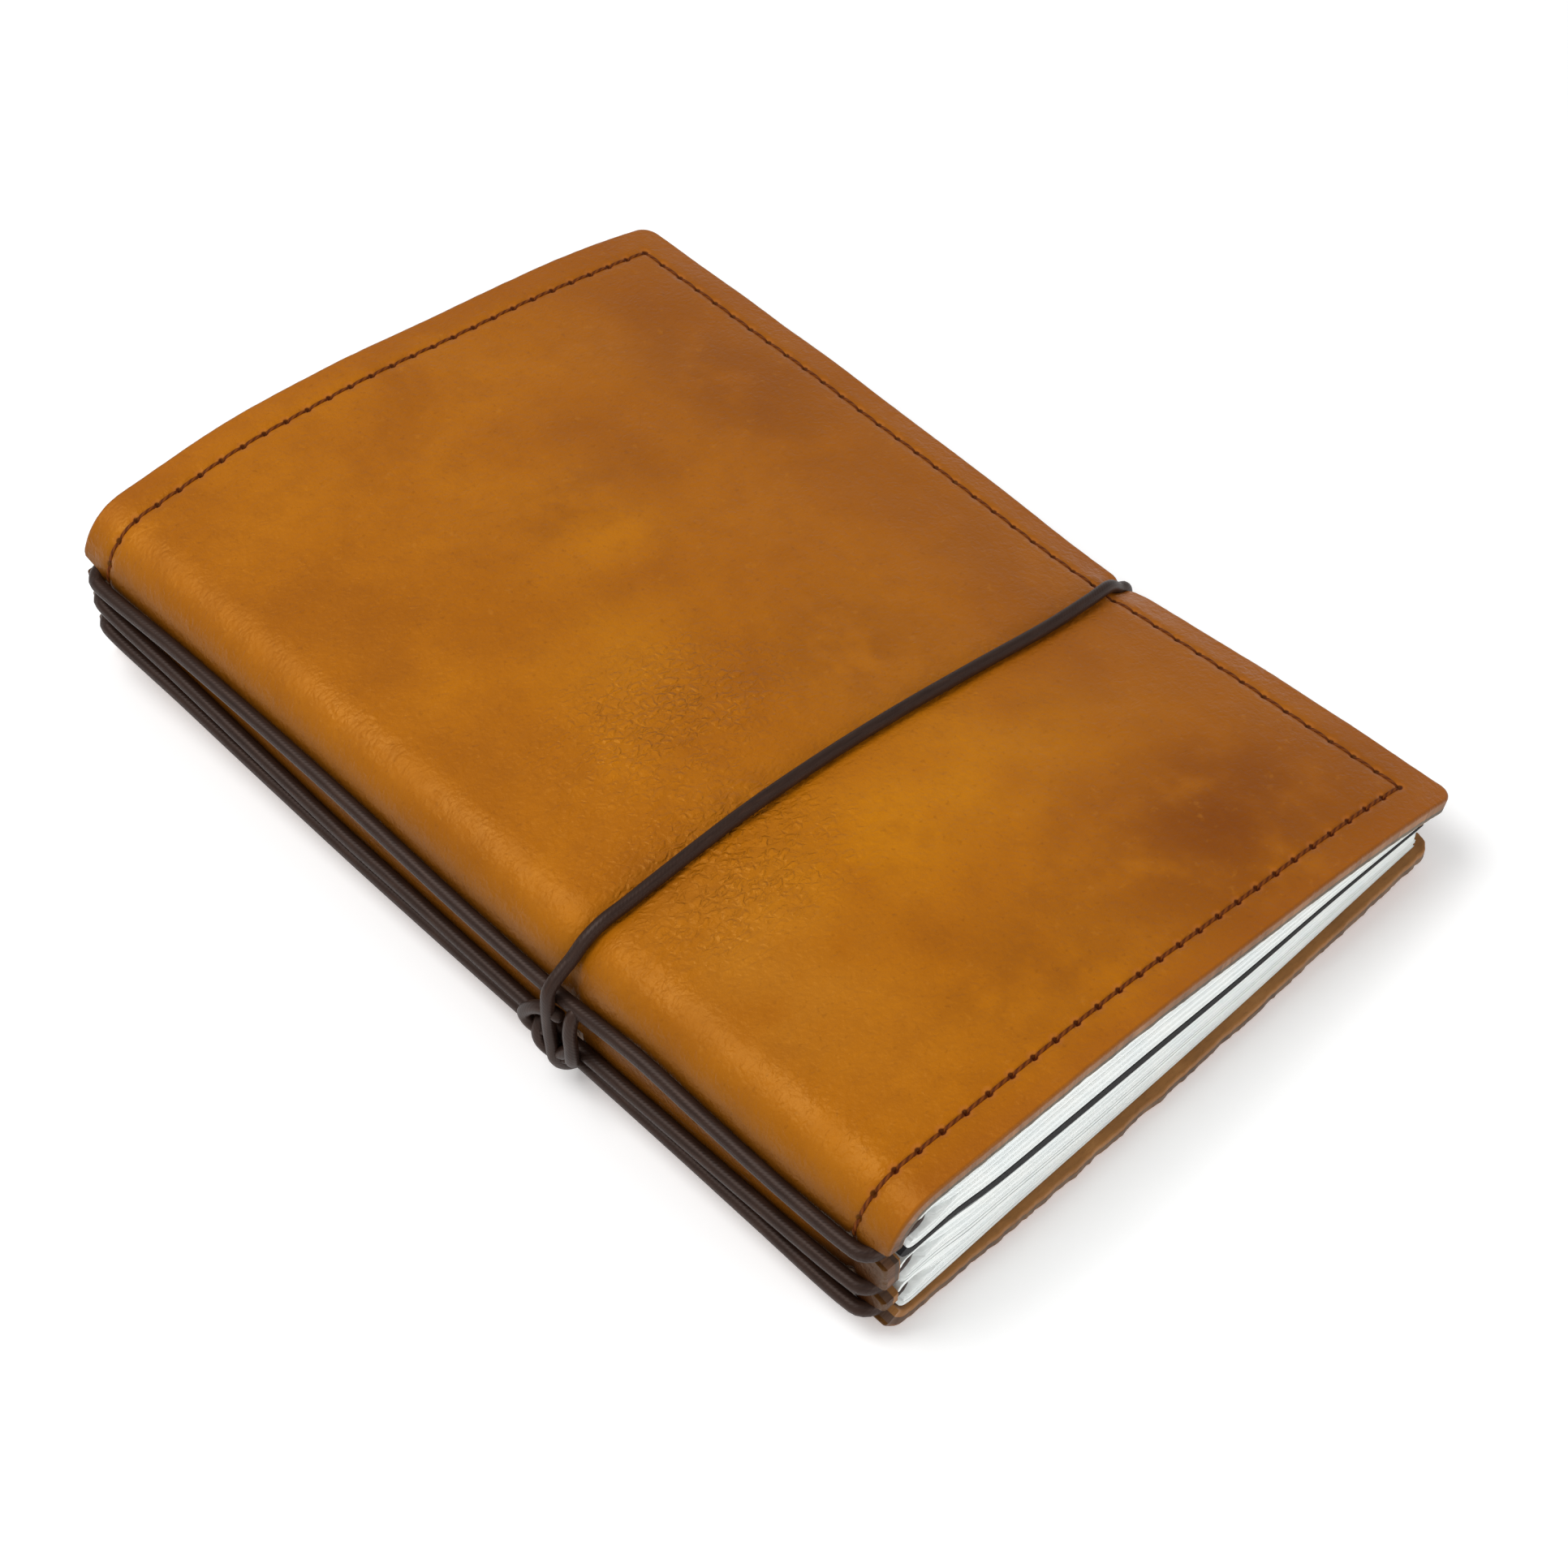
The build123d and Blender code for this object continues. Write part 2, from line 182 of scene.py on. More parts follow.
# ---------------------------------------------------------------- how the hide lies
def fore_lip(x, y):
    """The margin beyond the stitches turns down where the band holds it."""
    wide = 0.6 * np.exp(-((y + 20.0) / 18) ** 2)
    tight = 0.95 * np.exp(-((y - TIP_Y) / 1.05) ** 2)
    return -(wide + tight) * smooth(FORE_X - 6, FORE_X, x)


def fore_squeeze(x, y):
    """The band pulls the fore edge down, and the free corners spring up."""
    across = smooth(-14, FORE_X, x) ** 1.2
    off = y + 15.0
    width = np.where(off > 0, 37.0, 27.0)
    corners = 0.5 * np.clip((np.abs(y) - 42) / 29, 0, None) ** 2
    return across * (corners - 2.1 * np.exp(-(off / width) ** 2)) + fore_lip(x, y)


def back_lift(x, y):
    """The back cover curls up a little towards its fore edge, more near its corners."""
    curl = 1.5 * smooth(0, BACK_FORE_X, x) ** 1.5
    near_corner = smooth(20, HALF, np.abs(y))
    return curl * (0.55 + 0.45 * near_corner)


def band_furrow(s, y):
    """How deep the band sinks into the front, and the puckers beside it."""
    fold = np.exp(-((s - 17.0) / 9.0) ** 2)
    depth = 0.32 + 0.5 * fold
    off = y - BAND_Y
    furrow = -depth * np.exp(-(off / 1.7) ** 2)
    puff = 0.28 * fold * (np.exp(-((off - 6) / 4) ** 2) + np.exp(-((off + 6) / 4) ** 2))
    wide = -0.45 * fold * np.exp(-(off / 14) ** 2)
    return (furrow + puff + wide) * smooth(2, 9, s)


def wrinkles(s, y):
    """Fine creases that fan out from the band where it crosses the fold."""
    off = y - BAND_Y
    tail_side = np.exp(-((s - 36) / 13) ** 2 - ((off + 9) / 8) ** 2)
    head_side = 0.7 * np.exp(-((s - 36) / 12) ** 2 - ((off - 8) / 8) ** 2)
    roll = 0.7 * np.exp(-((s - 21) / 6) ** 2 - ((off + 9) / 7) ** 2)
    fan = off + 0.35 * (s - 20)
    lines = fbm(s * 0.28, fan, 1.25, 3.1, 2)
    return 0.2 * (tail_side + head_side + roll) * lines


def row_gap(s, y, row):
    """Distance to the stitch row, and distance along it to the nearest hole."""
    to_fore = np.hypot(np.abs(s - row), np.clip(np.abs(y) - ROW_Y, 0, None))
    to_end = np.hypot(np.abs(np.abs(y) - ROW_Y), np.clip(s - row, 0, None))
    near_fore = to_fore < to_end
    run = np.where(near_fore, y + ROW_Y, row - s)
    phase = np.abs((run / PITCH + 0.5) % 1 - 0.5) * PITCH
    return np.minimum(to_fore, to_end), phase


def stitch_dents(s, y, row):
    gap, phase = row_gap(s, y, row)
    return -0.26 * np.exp(-(gap / 0.5) ** 2) - 0.5 * np.exp(-(np.hypot(gap, phase) / 0.42) ** 2)


def rounded(depth, distance):
    """How far a rounded edge of this radius has dropped at a distance from the edge."""
    inside = np.clip(depth - distance, 0, depth)
    return depth - np.sqrt(np.clip(depth ** 2 - inside ** 2, 0, None))


# ---------------------------------------------------------------- mesh making
def make_object(name, vertices, faces, uvs=None, materials=(), face_material=None, sharp=None):
    mesh = bpy.data.meshes.new(name)
    mesh.from_pydata((np.asarray(vertices) * MM).tolist(), [], [list(map(int, f)) for f in faces])
    for material in materials:
        mesh.materials.append(material)
    if face_material is not None:
        mesh.polygons.foreach_set("material_index", np.asarray(face_material, np.int32))
    if uvs is not None:
        layer = mesh.uv_layers.new(name="flat")
        loops = np.zeros(len(mesh.loops), np.int32)
        mesh.loops.foreach_get("vertex_index", loops)
        layer.data.foreach_set("uv", (np.asarray(uvs)[loops] / UV_MM).astype(np.float32).ravel())
    mesh.polygons.foreach_set("use_smooth", np.ones(len(mesh.polygons), bool))
    if sharp:
        mesh.set_sharp_from_angle(angle=math.radians(sharp))
    mesh.validate()
    mesh.update()
    thing = bpy.data.objects.new(name, mesh)
    bpy.context.scene.collection.objects.link(thing)
    return thing


EDGE_STEPS = np.array((0.0, 0.03, 0.1, 0.2, 0.33, 0.5, 0.72, 1.0, 1.4))


def lines_to(row, end, start):
    """Grid lines from the seam to the fore edge, some of them on the stitch holes."""
    inner = np.arange(row, start, -STEP)[::-1]
    outer = np.arange(row + STEP, end - 1.6, STEP)
    return np.concatenate([[start], inner, outer, (end - EDGE_STEPS)[::-1]])


def cross_lines():
    inner = np.arange(-ROW_Y, ROW_Y + 0.01, STEP)
    outer = np.arange(ROW_Y + STEP, HALF - 1.6, STEP)
    edge = (HALF - EDGE_STEPS)[::-1]
    return np.concatenate([-edge[::-1], -outer[::-1], inner, outer, edge])


def grid_on(path, row, notches, rag):
    """Places on the flattened leather with its rounded corners, notched ends and cut edge."""
    s, y = np.meshgrid(lines_to(row, path.end, 0.0), cross_lines(), indexing="ij")
    a = np.clip((s - (path.end - CORNER)) / CORNER, 0, 1)
    b = np.clip((np.abs(y) - (HALF - CORNER)) / CORNER, 0, 1)
    a2, b2 = a * np.sqrt(1 - b ** 2 / 2), b * np.sqrt(1 - a ** 2 / 2)
    in_corner = (a > 0) & (b > 0)
    distance = np.minimum(path.end - s, HALF - np.abs(y))
    distance = np.where(in_corner, CORNER * (1 - np.hypot(a2, b2)), distance)
    s = np.where(in_corner, path.end - CORNER + CORNER * a2, s)
    y = np.where(in_corner, np.sign(y) * (HALF - CORNER + CORNER * b2), y)
    rough = 0.6 * fbm(s, y, 2.6, 8.8, 3) + 0.5 * fbm(s, y, 0.9, 5.8, 2)
    rough *= rag * np.exp(-(distance / 0.7) ** 2)
    depth = np.zeros(s.shape)
    for end, places in zip((HEAD, TAIL), notches):
        for n in places:
            depth += np.where(np.sign(y) == end, NOTCH[end] * np.exp(-((s - n) / 1.2) ** 6), 0)
    y = y - np.sign(y) * (depth * smooth(HALF - 6.5, HALF, np.abs(y)) - rough)
    return s + rough * smooth(path.end - 3, path.end, s), y, distance


def layer_points(path, s, y, offset, lift):
    """Points at an offset from the outside of the cover."""
    x, z, nx, nz = path.at(s)
    short = np.where(y > 0, END_TAPER[HEAD], END_TAPER[TAIL])
    short = short * (1 - smooth(6, 40, s)) * smooth(30, HALF, np.abs(y))
    pull = -fore_lip(x, y) * 0.45 if lift is fore_squeeze else 0.0
    return np.stack([x + nx * offset - pull, y - np.sign(y) * short, z + nz * offset + lift(x, y)], -1)


def shell_faces(n, m):
    """Upper faces, lower faces and rim walls of a thin solid between two grids of n by m points."""
    index = np.arange(n * m).reshape(n, m)
    upper = np.stack([index[:-1, :-1], index[1:, :-1], index[1:, 1:], index[:-1, 1:]], -1).reshape(-1, 4)
    rim = np.concatenate([index[:-1, 0], index[-1, :-1], index[:0:-1, -1], index[0, :0:-1]])
    ahead = np.roll(rim, -1)
    return upper, upper[:, ::-1] + n * m, np.stack([rim, rim + n * m, ahead + n * m, ahead], -1)


def panel(name, path, row, depths, low, fine, lift, rounds, materials, notches, rag, side=1):
    """One layer of the cover: two skins and the cut edge between them."""
    s, y, distance = grid_on(path, row, notches, rag)
    near, far = depths
    top_round, low_round = rounds
    base = low(s, y)
    ragged = 0.06 * fbm(s, y, 2.2, near + 5, 2) * np.exp(-(distance / 0.5) ** 2)
    outside = -near + base + fine(s, y) - rounded(top_round, distance)
    inside = -far + base + ragged + rounded(low_round, distance)
    upper, lower = (layer_points(path, s, y, side * offset, lift) for offset in (outside, inside))
    top_faces, low_faces, walls = (f[:, ::side] for f in shell_faces(*s.shape))
    faces = np.concatenate([top_faces, low_faces, walls])
    slot = np.zeros(len(faces), np.int32)
    slot[len(top_faces):2 * len(top_faces)] = 1
    slot[2 * len(top_faces):] = 2
    flat = np.stack([s.ravel(), y.ravel()], -1)
    vertices = np.concatenate([upper.reshape(-1, 3), lower.reshape(-1, 3)])
    thing = make_object(name, vertices, faces, np.concatenate([flat, flat]), materials, slot, sharp=38)
    edge = thing.data.attributes.new("edge", "FLOAT", "POINT")
    edge.data.foreach_set("value", np.tile(distance.ravel(), 2).astype(np.float32))
    return thing


def smooth_line(points, spacing, closed=False):
    """Evenly spaced places on a smooth curve through the points."""
    p = np.array(points, float)
    n = len(p)
    out = []
    spans = n if closed else n - 1
    for i in range(spans):
        if closed:
            p0, p1, p2, p3 = (p[(i + k) % n] for k in (-1, 0, 1, 2))
        else:
            p1, p2 = p[i], p[i + 1]
            p0 = p[i - 1] if i else 2 * p1 - p2
            p3 = p[i + 2] if i + 2 < n else 2 * p2 - p1
        k1 = max(np.linalg.norm(p1 - p0), 1e-6) ** 0.5
        k2 = max(np.linalg.norm(p2 - p1), 1e-6) ** 0.5
        k3 = max(np.linalg.norm(p3 - p2), 1e-6) ** 0.5
        m1 = k2 * ((p1 - p0) / k1 - (p2 - p0) / (k1 + k2) + (p2 - p1) / k2)
        m2 = k2 * ((p2 - p1) / k2 - (p3 - p1) / (k2 + k3) + (p3 - p2) / k3)
        for t in np.linspace(0, 1, 24, endpoint=False):
            out.append(p1 * (1 + 2 * t) * (1 - t) ** 2 + p2 * t * t * (3 - 2 * t)
                       + m1 * t * (1 - t) ** 2 - m2 * t * t * (1 - t))
    out.append(out[0] if closed else p[-1])
    out = np.array(out)
    run = np.concatenate([[0], np.cumsum(np.linalg.norm(np.diff(out, axis=0), axis=1))])
    count = max(3, int(run[-1] / spacing))
    places = np.linspace(0, run[-1], count, endpoint=not closed)
    return np.stack([np.interp(places, run, out[:, k]) for k in range(3)], 1), run[-1]


def tube_parts(points, radius, sides=14, closed=False, spacing=0.6, flat=1.0, up=(0.12, 0.35, 0.93)):
    """Vertices, faces and uvs of a round cord along a smooth line."""
    line, length = smooth_line(points, spacing, closed)
    n = len(line)
    if closed:
        tangent = np.roll(line, -1, 0) - np.roll(line, 1, 0)
    else:
        longer = np.concatenate([line[:1] * 2 - line[1:2], line, line[-1:] * 2 - line[-2:-1]])
        tangent = longer[2:] - longer[:-2]
    tangent /= np.linalg.norm(tangent, axis=1)[:, None]
    side = np.cross(tangent[0], up)
    side /= np.linalg.norm(side)
    sides_at = []
    for t in tangent:
        side = side - t * (side @ t)
        side /= np.linalg.norm(side)
        sides_at.append(side)
    sides_at = np.array(sides_at)
    twist = 0.0
    if closed:
        last = sides_at[-1] - tangent[0] * (sides_at[-1] @ tangent[0])
        first = sides_at[0]
        twist = math.atan2(np.cross(last, first) @ tangent[0], last @ first)
    other = np.cross(tangent, sides_at)
    radii = np.full(n, radius)
    if not closed:
        gap = np.minimum(np.arange(n), np.arange(n)[::-1]) * length / (n - 1)
        radii = radius * np.sqrt(np.clip(1 - np.clip(1 - gap / radius, 0, 1) ** 2, 0.02, 1))
    verts, uvs = [], []
    for i in range(n):
        shift = twist * i / n
        for k in range(sides):
            a = 2 * math.pi * k / sides + shift
            out = math.cos(a) * sides_at[i] + flat * math.sin(a) * other[i]
            verts.append(line[i] + radii[i] * out)
            uvs.append((i * length / max(n - 1, 1), a * radius))
    faces = []
    for i in range(n if closed else n - 1):
        j = (i + 1) % n
        for k in range(sides):
            after = (k + 1) % sides
            faces.append((i * sides + k, i * sides + after, j * sides + after, j * sides + k))
    if not closed:
        faces.append(tuple(range(sides))[::-1])
        faces.append(tuple((n - 1) * sides + k for k in range(sides)))
    return np.array(verts), faces, np.array(uvs)


def joined(name, parts, materials):
    """One object from several lots of vertices, faces and uvs."""
    verts, faces, uvs, base = [], [], [], 0
    for v, f, u in parts:
        verts.append(v)
        uvs.append(u)
        faces += [tuple(i + base for i in face) for face in f]
        base += len(v)
    return make_object(name, np.concatenate(verts), faces, np.concatenate(uvs), materials, sharp=60)


# ---------------------------------------------------------------- materials
class Shader:
    """A node material, built with short calls."""

    def __init__(self, name):
        self.mat = bpy.data.materials.new(name)
        self.mat.use_nodes = True
        self.tree = self.mat.node_tree
        self.bsdf = self.tree.nodes["Principled BSDF"]

    def node(self, kind, inputs=(), **settings):
        n = self.tree.nodes.new(kind)
        for key, value in settings.items():
            setattr(n, key, value)
        for key, value in dict(inputs).items():
            if isinstance(value, bpy.types.NodeSocket):
                self.tree.links.new(value, n.inputs[key])
            else:
                n.inputs[key].default_value = value
        return n

    def math(self, operation, a, b=0.0, c=0.0, clamp=False):
        n = self.node("ShaderNodeMath", {0: a, 1: b, 2: c}, operation=operation, use_clamp=clamp)
        return n.outputs[0]

    def vector(self, operation, a, b):
        return self.node("ShaderNodeVectorMath", {0: a, 1: b}, operation=operation).outputs[0]

    def flat(self, stretch=(1, 1, 1), shift=(0, 0, 0)):
        """Flattened leather coordinates in mm, stretched if asked."""
        uv = self.node("ShaderNodeUVMap", uv_map="flat").outputs[0]
        scale = tuple(UV_MM * k for k in stretch)
        return self.node("ShaderNodeMapping", {"Vector": uv, "Scale": scale, "Location": shift}).outputs[0]

    def flat_parts(self, flat):
        """Length from the seam, and Y."""
        parts = self.node("ShaderNodeSeparateXYZ", {0: flat})
        return parts.outputs["X"], parts.outputs["Y"]

    def noise(self, vector, size, detail=3.0, rough=0.55, distortion=0.0):
        n = self.node("ShaderNodeTexNoise", {"Vector": vector, "Scale": 1 / size, "Detail": detail,
                                             "Roughness": rough, "Distortion": distortion})
        return n.outputs["Fac"]

    def cells(self, vector, size, feature="F1"):
        inputs = {"Vector": vector, "Scale": 1 / size}
        return self.node("ShaderNodeTexVoronoi", inputs, feature=feature).outputs["Distance"]

    def wave(self, vector, scale, distortion):
        inputs = {"Vector": vector, "Scale": scale, "Distortion": distortion, "Detail": 1.0}
        return self.node("ShaderNodeTexWave", inputs, bands_direction="DIAGONAL").outputs["Fac"]

    def ramp(self, value, *stops):
        n = self.node("ShaderNodeValToRGB", {"Fac": value})
        e = n.color_ramp.elements
        e[0].position, e[0].color = stops[0][0], (*stops[0][1], 1)
        e[1].position, e[1].color = stops[-1][0], (*stops[-1][1], 1)
        for place, colour in stops[1:-1]:
            e.new(place).color = (*colour, 1)
        return n.outputs["Color"]

    def between(self, value, low, high, to_low=0.0, to_high=1.0):
        inputs = {"Value": value, "From Min": low, "From Max": high, "To Min": to_low, "To Max": to_high}
        return self.node("ShaderNodeMapRange", inputs, interpolation_type="SMOOTHSTEP").outputs[0]

    def mix(self, share, a, b, blend="MIX"):
        n = self.node("ShaderNodeMix", data_type="RGBA", blend_type=blend)
        for key, value in (("Factor", share), ("A", a), ("B", b)):
            kind = "NodeSocketFloatFactor" if key == "Factor" else "NodeSocketColor"
            s = [i for i in n.inputs if i.name == key and i.bl_idname == kind][0]
            if isinstance(value, bpy.types.NodeSocket):
                self.tree.links.new(value, s)
            else:
                s.default_value = value if key == "Factor" else (*value, 1)
        return [o for o in n.outputs if o.bl_idname == "NodeSocketColor"][0]

    def spot(self, flat, centre, size):
        """Soft round patch at a place on the flattened leather."""
        shift = self.vector("SUBTRACT", flat, (*centre, 0))
        stretch = self.vector("MULTIPLY", shift, (1 / size[0], 1 / size[1], 0))
        length = self.node("ShaderNodeVectorMath", {0: stretch}, operation="LENGTH").outputs["Value"]
        return self.between(length, 1.0, 0.0)

    def bump(self, height, distance, strength=1.0, normal=None):
        inputs = {"Height": height, "Distance": distance * MM, "Strength": strength}
        if normal is not None:
            inputs["Normal"] = normal
        return self.node("ShaderNodeBump", inputs).outputs["Normal"]

    def set(self, **values):
        for key, value in values.items():
            s = self.bsdf.inputs[key.replace("_", " ")]
            if isinstance(value, bpy.types.NodeSocket):
                self.tree.links.new(value, s)
            else:
                s.default_value = value
        return self.mat


def rgb(r, g, b):
    """Linear colour from the 0 to 255 values a picture shows."""
    return tuple(((v / 255 + 0.055) / 1.055) ** 2.4 if v > 10 else v / 255 / 12.92 for v in (r, g, b))


def leather_material():
    sh = Shader("tan_leather")
    flat = sh.flat()
    s, y = sh.flat_parts(flat)
    # Cloudy dyeing, darker towards the fore edge.
    clouds = sh.noise(flat, 24, 3, 0.5, 0.5)
    colour = sh.ramp(clouds, (0.30, rgb(160, 89, 8)), (0.47, rgb(174, 100, 9)), (0.72, rgb(187, 111, 10)))
    colour = sh.mix(sh.between(s, 55, 108, 0, 0.55), colour, rgb(150, 80, 16))
    for centre, size, tint, share in LEATHER_PATCHES:
        spot = sh.spot(flat, centre, size)
        spot = sh.math("MULTIPLY", spot, sh.between(sh.noise(flat, 9, 3), 0.2, 0.6))
        colour = sh.mix(sh.math("MULTIPLY", spot, share), colour, rgb(*tint))
    # Mottling and specks.
    mottle = sh.noise(flat, 4.5, 4, 0.65)
    colour = sh.mix(sh.between(mottle, 0.40, 0.75, 0, 0.35), colour, rgb(152, 84, 12))
    specks = sh.noise(flat, 0.9, 2, 0.6)
    colour = sh.mix(sh.between(specks, 0.58, 0.78, 0, 0.3), colour, rgb(120, 62, 8))
    # Painted glints: pale orange specks that stand in for highlights on the grain.
    glint_specks = sh.noise(sh.flat(shift=(40, 7, 3)), 1.3, 2, 0.6)
    colour = sh.mix(sh.between(glint_specks, 0.62, 0.8, 0, 0.25), colour, rgb(198, 126, 40))
    # Rubbed margin and edge; the stitch holes are darkened with painted shade and ringed with a painted
    # highlight.
    edge = sh.node("ShaderNodeAttribute", attribute_name="edge").outputs["Fac"]
    colour = sh.mix(sh.between(edge, 4.5, 0.3, 0, 0.3), colour, rgb(158, 84, 24))
    colour = sh.mix(sh.between(edge, 0.45, 0.05, 0, 0.7), colour, rgb(110, 62, 30))
    holes, rim_highlight = hole_mask(sh, s, y)
    colour = sh.mix(sh.math("MULTIPLY", rim_highlight, 0.35), colour, rgb(190, 112, 56))
    colour = sh.mix(holes, colour, rgb(70, 18, 6))
    # Painted shade: the spine is darkened under the elastics and below the roll, and darkest on the tabs at
    # its ends.
    colour = sh.mix(sh.between(s, 12.5, 7.5, 0, 0.86), colour, rgb(74, 32, 5))
    colour = sh.mix(sh.between(s, 16.0, 11.0, 0, 0.45), colour, rgb(112, 66, 4))
    spine_end_shade = sh.between(sh.math("ABSOLUTE", y), 58.0, 67.0, 0, 0.85)
    colour = sh.mix(sh.math("MULTIPLY", spine_end_shade, sh.between(s, 8.5, 6.8)), colour, rgb(52, 26, 12))
    # Creases where the band works the hide, beside it on the fold, with painted shade darkening the crease
    # lines.
    worked = sh.math("ADD", sh.spot(flat, (33, -25), (22, 17)), sh.spot(flat, (44, -3), (24, 15)), clamp=True)
    warp = sh.node("ShaderNodeTexNoise", {"Vector": flat, "Scale": 1 / 1.4, "Detail": 3.0}).outputs["Color"]
    warped = sh.vector("ADD", flat, sh.vector("MULTIPLY", warp, (1.6, 1.6, 0)))
    stretched = sh.node("ShaderNodeMapping", {"Vector": warped, "Scale": (0.6, 1.0, 1.0)}).outputs[0]
    creases = sh.between(sh.cells(stretched, 0.95, "DISTANCE_TO_EDGE"), 0.0, 0.35)
    share = sh.math("ADD", sh.math("MULTIPLY", worked, 0.85), 0.15)
    crease_shade = sh.math("MULTIPLY", sh.math("SUBTRACT", 1.0, creases), sh.math("MULTIPLY", share, 0.15))
    colour = sh.mix(crease_shade, colour, rgb(118, 60, 4))
    # Grain, from the finest up.
    grain = sh.cells(flat, 0.62)
    pebble = sh.noise(flat, 0.42, 3, 0.6)
    pores = sh.between(sh.cells(sh.flat(shift=(9, 4, 0)), 1.5), 0.0, 0.16)
    height = sh.math("ADD", sh.math("MULTIPLY", grain, 0.45), sh.math("MULTIPLY", pebble, 0.75))
    height = sh.math("ADD", height, sh.math("MULTIPLY", pores, 0.35))
    normal = sh.bump(height, 0.08, 0.7)
    normal = sh.bump(sh.math("MULTIPLY", creases, share), 0.2, 1.0, normal)
    normal = sh.bump(sh.noise(flat, 0.95, 3, 0.6), 0.16, 0.6, normal)
    normal = sh.bump(sh.noise(flat, 3.2, 3, 0.5), 0.35, 0.45, normal)
    rough = sh.between(sh.noise(flat, 7, 3), 0.3, 0.75, 0.36, 0.50)
    return sh.set(Base_Color=colour, Roughness=rough, Normal=normal, Specular_IOR_Level=0.5,
                  Specular_Tint=(1.0, 0.58, 0.16, 1))


def hole_mask(sh, s, y):
    """Stitch holes darkened with painted shade, and a painted highlight on the leather pulled up round them.
    """
    row = sh.node("ShaderNodeAttribute", attribute_name="row").outputs["Fac"]
    off_fore = sh.math("SUBTRACT", s, row)
    off_end = sh.math("SUBTRACT", sh.math("ABSOLUTE", y), float(ROW_Y))

    def from_row(off, run, past):
        """Distance to the nearest hole of a row, far away past the row's end."""
        share = sh.math("ADD", sh.math("DIVIDE", run, PITCH), 200.5)
        along = sh.math("MULTIPLY", sh.math("SUBTRACT", sh.math("FRACT", share), 0.5), PITCH)
        gap = sh.math("SQRT", sh.math("ADD", sh.math("POWER", off, 2), sh.math("POWER", along, 2)))
        return sh.math("ADD", gap, sh.math("MULTIPLY", sh.math("GREATER_THAN", past, 0.9), 50))

    fore = from_row(off_fore, sh.math("ADD", y, float(ROW_Y)), off_end)
    end = from_row(off_end, off_fore, off_fore)
    nearest = sh.math("MINIMUM", fore, end)
    return sh.between(nearest, 0.54, 0.36), sh.between(nearest, 1.05, 0.5)


def lining_material():
    sh = Shader("tan_lining")
    flat = sh.flat()
    clouds = sh.noise(flat, 9, 4, 0.6)
    colour = sh.ramp(clouds, (0.3, rgb(126, 84, 40)), (0.55, rgb(146, 98, 48)), (0.75, rgb(160, 112, 62)))
    fibres = sh.noise(sh.flat((0.35, 1, 1)), 0.5, 4, 0.7)
    colour = sh.mix(sh.between(fibres, 0.45, 0.75, 0, 0.4), colour, rgb(104, 66, 30))
    normal = sh.bump(fibres, 0.10, 0.6)
    return sh.set(Base_Color=colour, Roughness=0.78, Normal=normal, Specular_IOR_Level=0.25,
                  Sheen_Weight=0.15, Sheen_Roughness=0.5)


def cut_edge_material(name, light, dark):
    """Slicked cut edge, pale where it is rubbed, and darkened with patchy painted shade by the spine."""
    sh = Shader(name)
    flat = sh.flat()
    colour = sh.ramp(sh.noise(flat, 3.5, 4, 0.7), (0.32, rgb(*dark)), (0.66, rgb(*light)))
    spine_shade = sh.between(sh.flat_parts(flat)[0], 16.0, 8.0)
    shade_patches = sh.between(sh.noise(flat, 1.1, 3), 0.35, 0.6, 0.95, 0.6)
    colour = sh.mix(sh.math("MULTIPLY", spine_shade, shade_patches), colour, rgb(66, 38, 22))
    colour = sh.mix(sh.between(sh.noise(flat, 0.6, 2), 0.5, 0.8, 0, 0.5), colour, rgb(60, 42, 32))
    normal = sh.bump(sh.noise(flat, 0.5, 3, 0.7), 0.08, 0.6)
    return sh.set(Base_Color=colour, Roughness=0.62, Normal=normal, Specular_IOR_Level=0.3)


def thread_material():
    sh = Shader("waxed_thread")
    flat = sh.flat()
    twist = sh.wave(sh.flat((1, 1.6, 1)), 0.55, 0.6)
    # The thread is darker than its own tan, partly painted shade of the stitches sunk in their grooves.
    colour = sh.mix(twist, rgb(84, 36, 6), rgb(122, 62, 14))
    colour = sh.mix(sh.between(sh.noise(flat, 6, 2), 0.4, 0.7, 0, 0.6), colour, rgb(112, 54, 12))
    normal = sh.bump(twist, 0.06, 0.6)
    return sh.set(Base_Color=colour, Roughness=0.65, Normal=normal, Specular_IOR_Level=0.12)


def cord_material():
    sh = Shader("brown_elastic")
    streak = sh.noise(sh.flat((0.12, 1, 1)), 0.5, 3, 0.6)
    colour = sh.ramp(streak, (0.3, rgb(32, 19, 14)), (0.55, rgb(44, 28, 21)), (0.8, rgb(60, 41, 32)))
    normal = sh.bump(sh.wave(sh.flat(), 1.1, 0.4), 0.03, 0.35)
    normal = sh.bump(streak, 0.06, 0.3, normal)
    return sh.set(Base_Color=colour, Roughness=0.46, Normal=normal, Specular_IOR_Level=0.32,
                  Specular_Tint=(1.0, 0.80, 0.72, 1))


def paper_material(name, tone, warm):
    sh = Shader(name)
    flat = sh.flat()
    colour = sh.ramp(sh.noise(flat, 5, 4, 0.6), (0.35, rgb(*tone)), (0.7, rgb(*warm)))
    return sh.set(Base_Color=colour, Roughness=0.85, Specular_IOR_Level=0.2,
                  Normal=sh.bump(sh.noise(flat, 0.3, 2), 0.02, 0.4))


def card_material(name, tone, other):
    sh = Shader(name)
    flat = sh.flat()
    colour = sh.ramp(sh.noise(flat, 2.5, 4, 0.7), (0.35, rgb(*tone)), (0.7, rgb(*other)))
    return sh.set(Base_Color=colour, Roughness=0.7, Specular_IOR_Level=0.3,
                  Normal=sh.bump(sh.noise(flat, 0.4, 3), 0.03, 0.5))


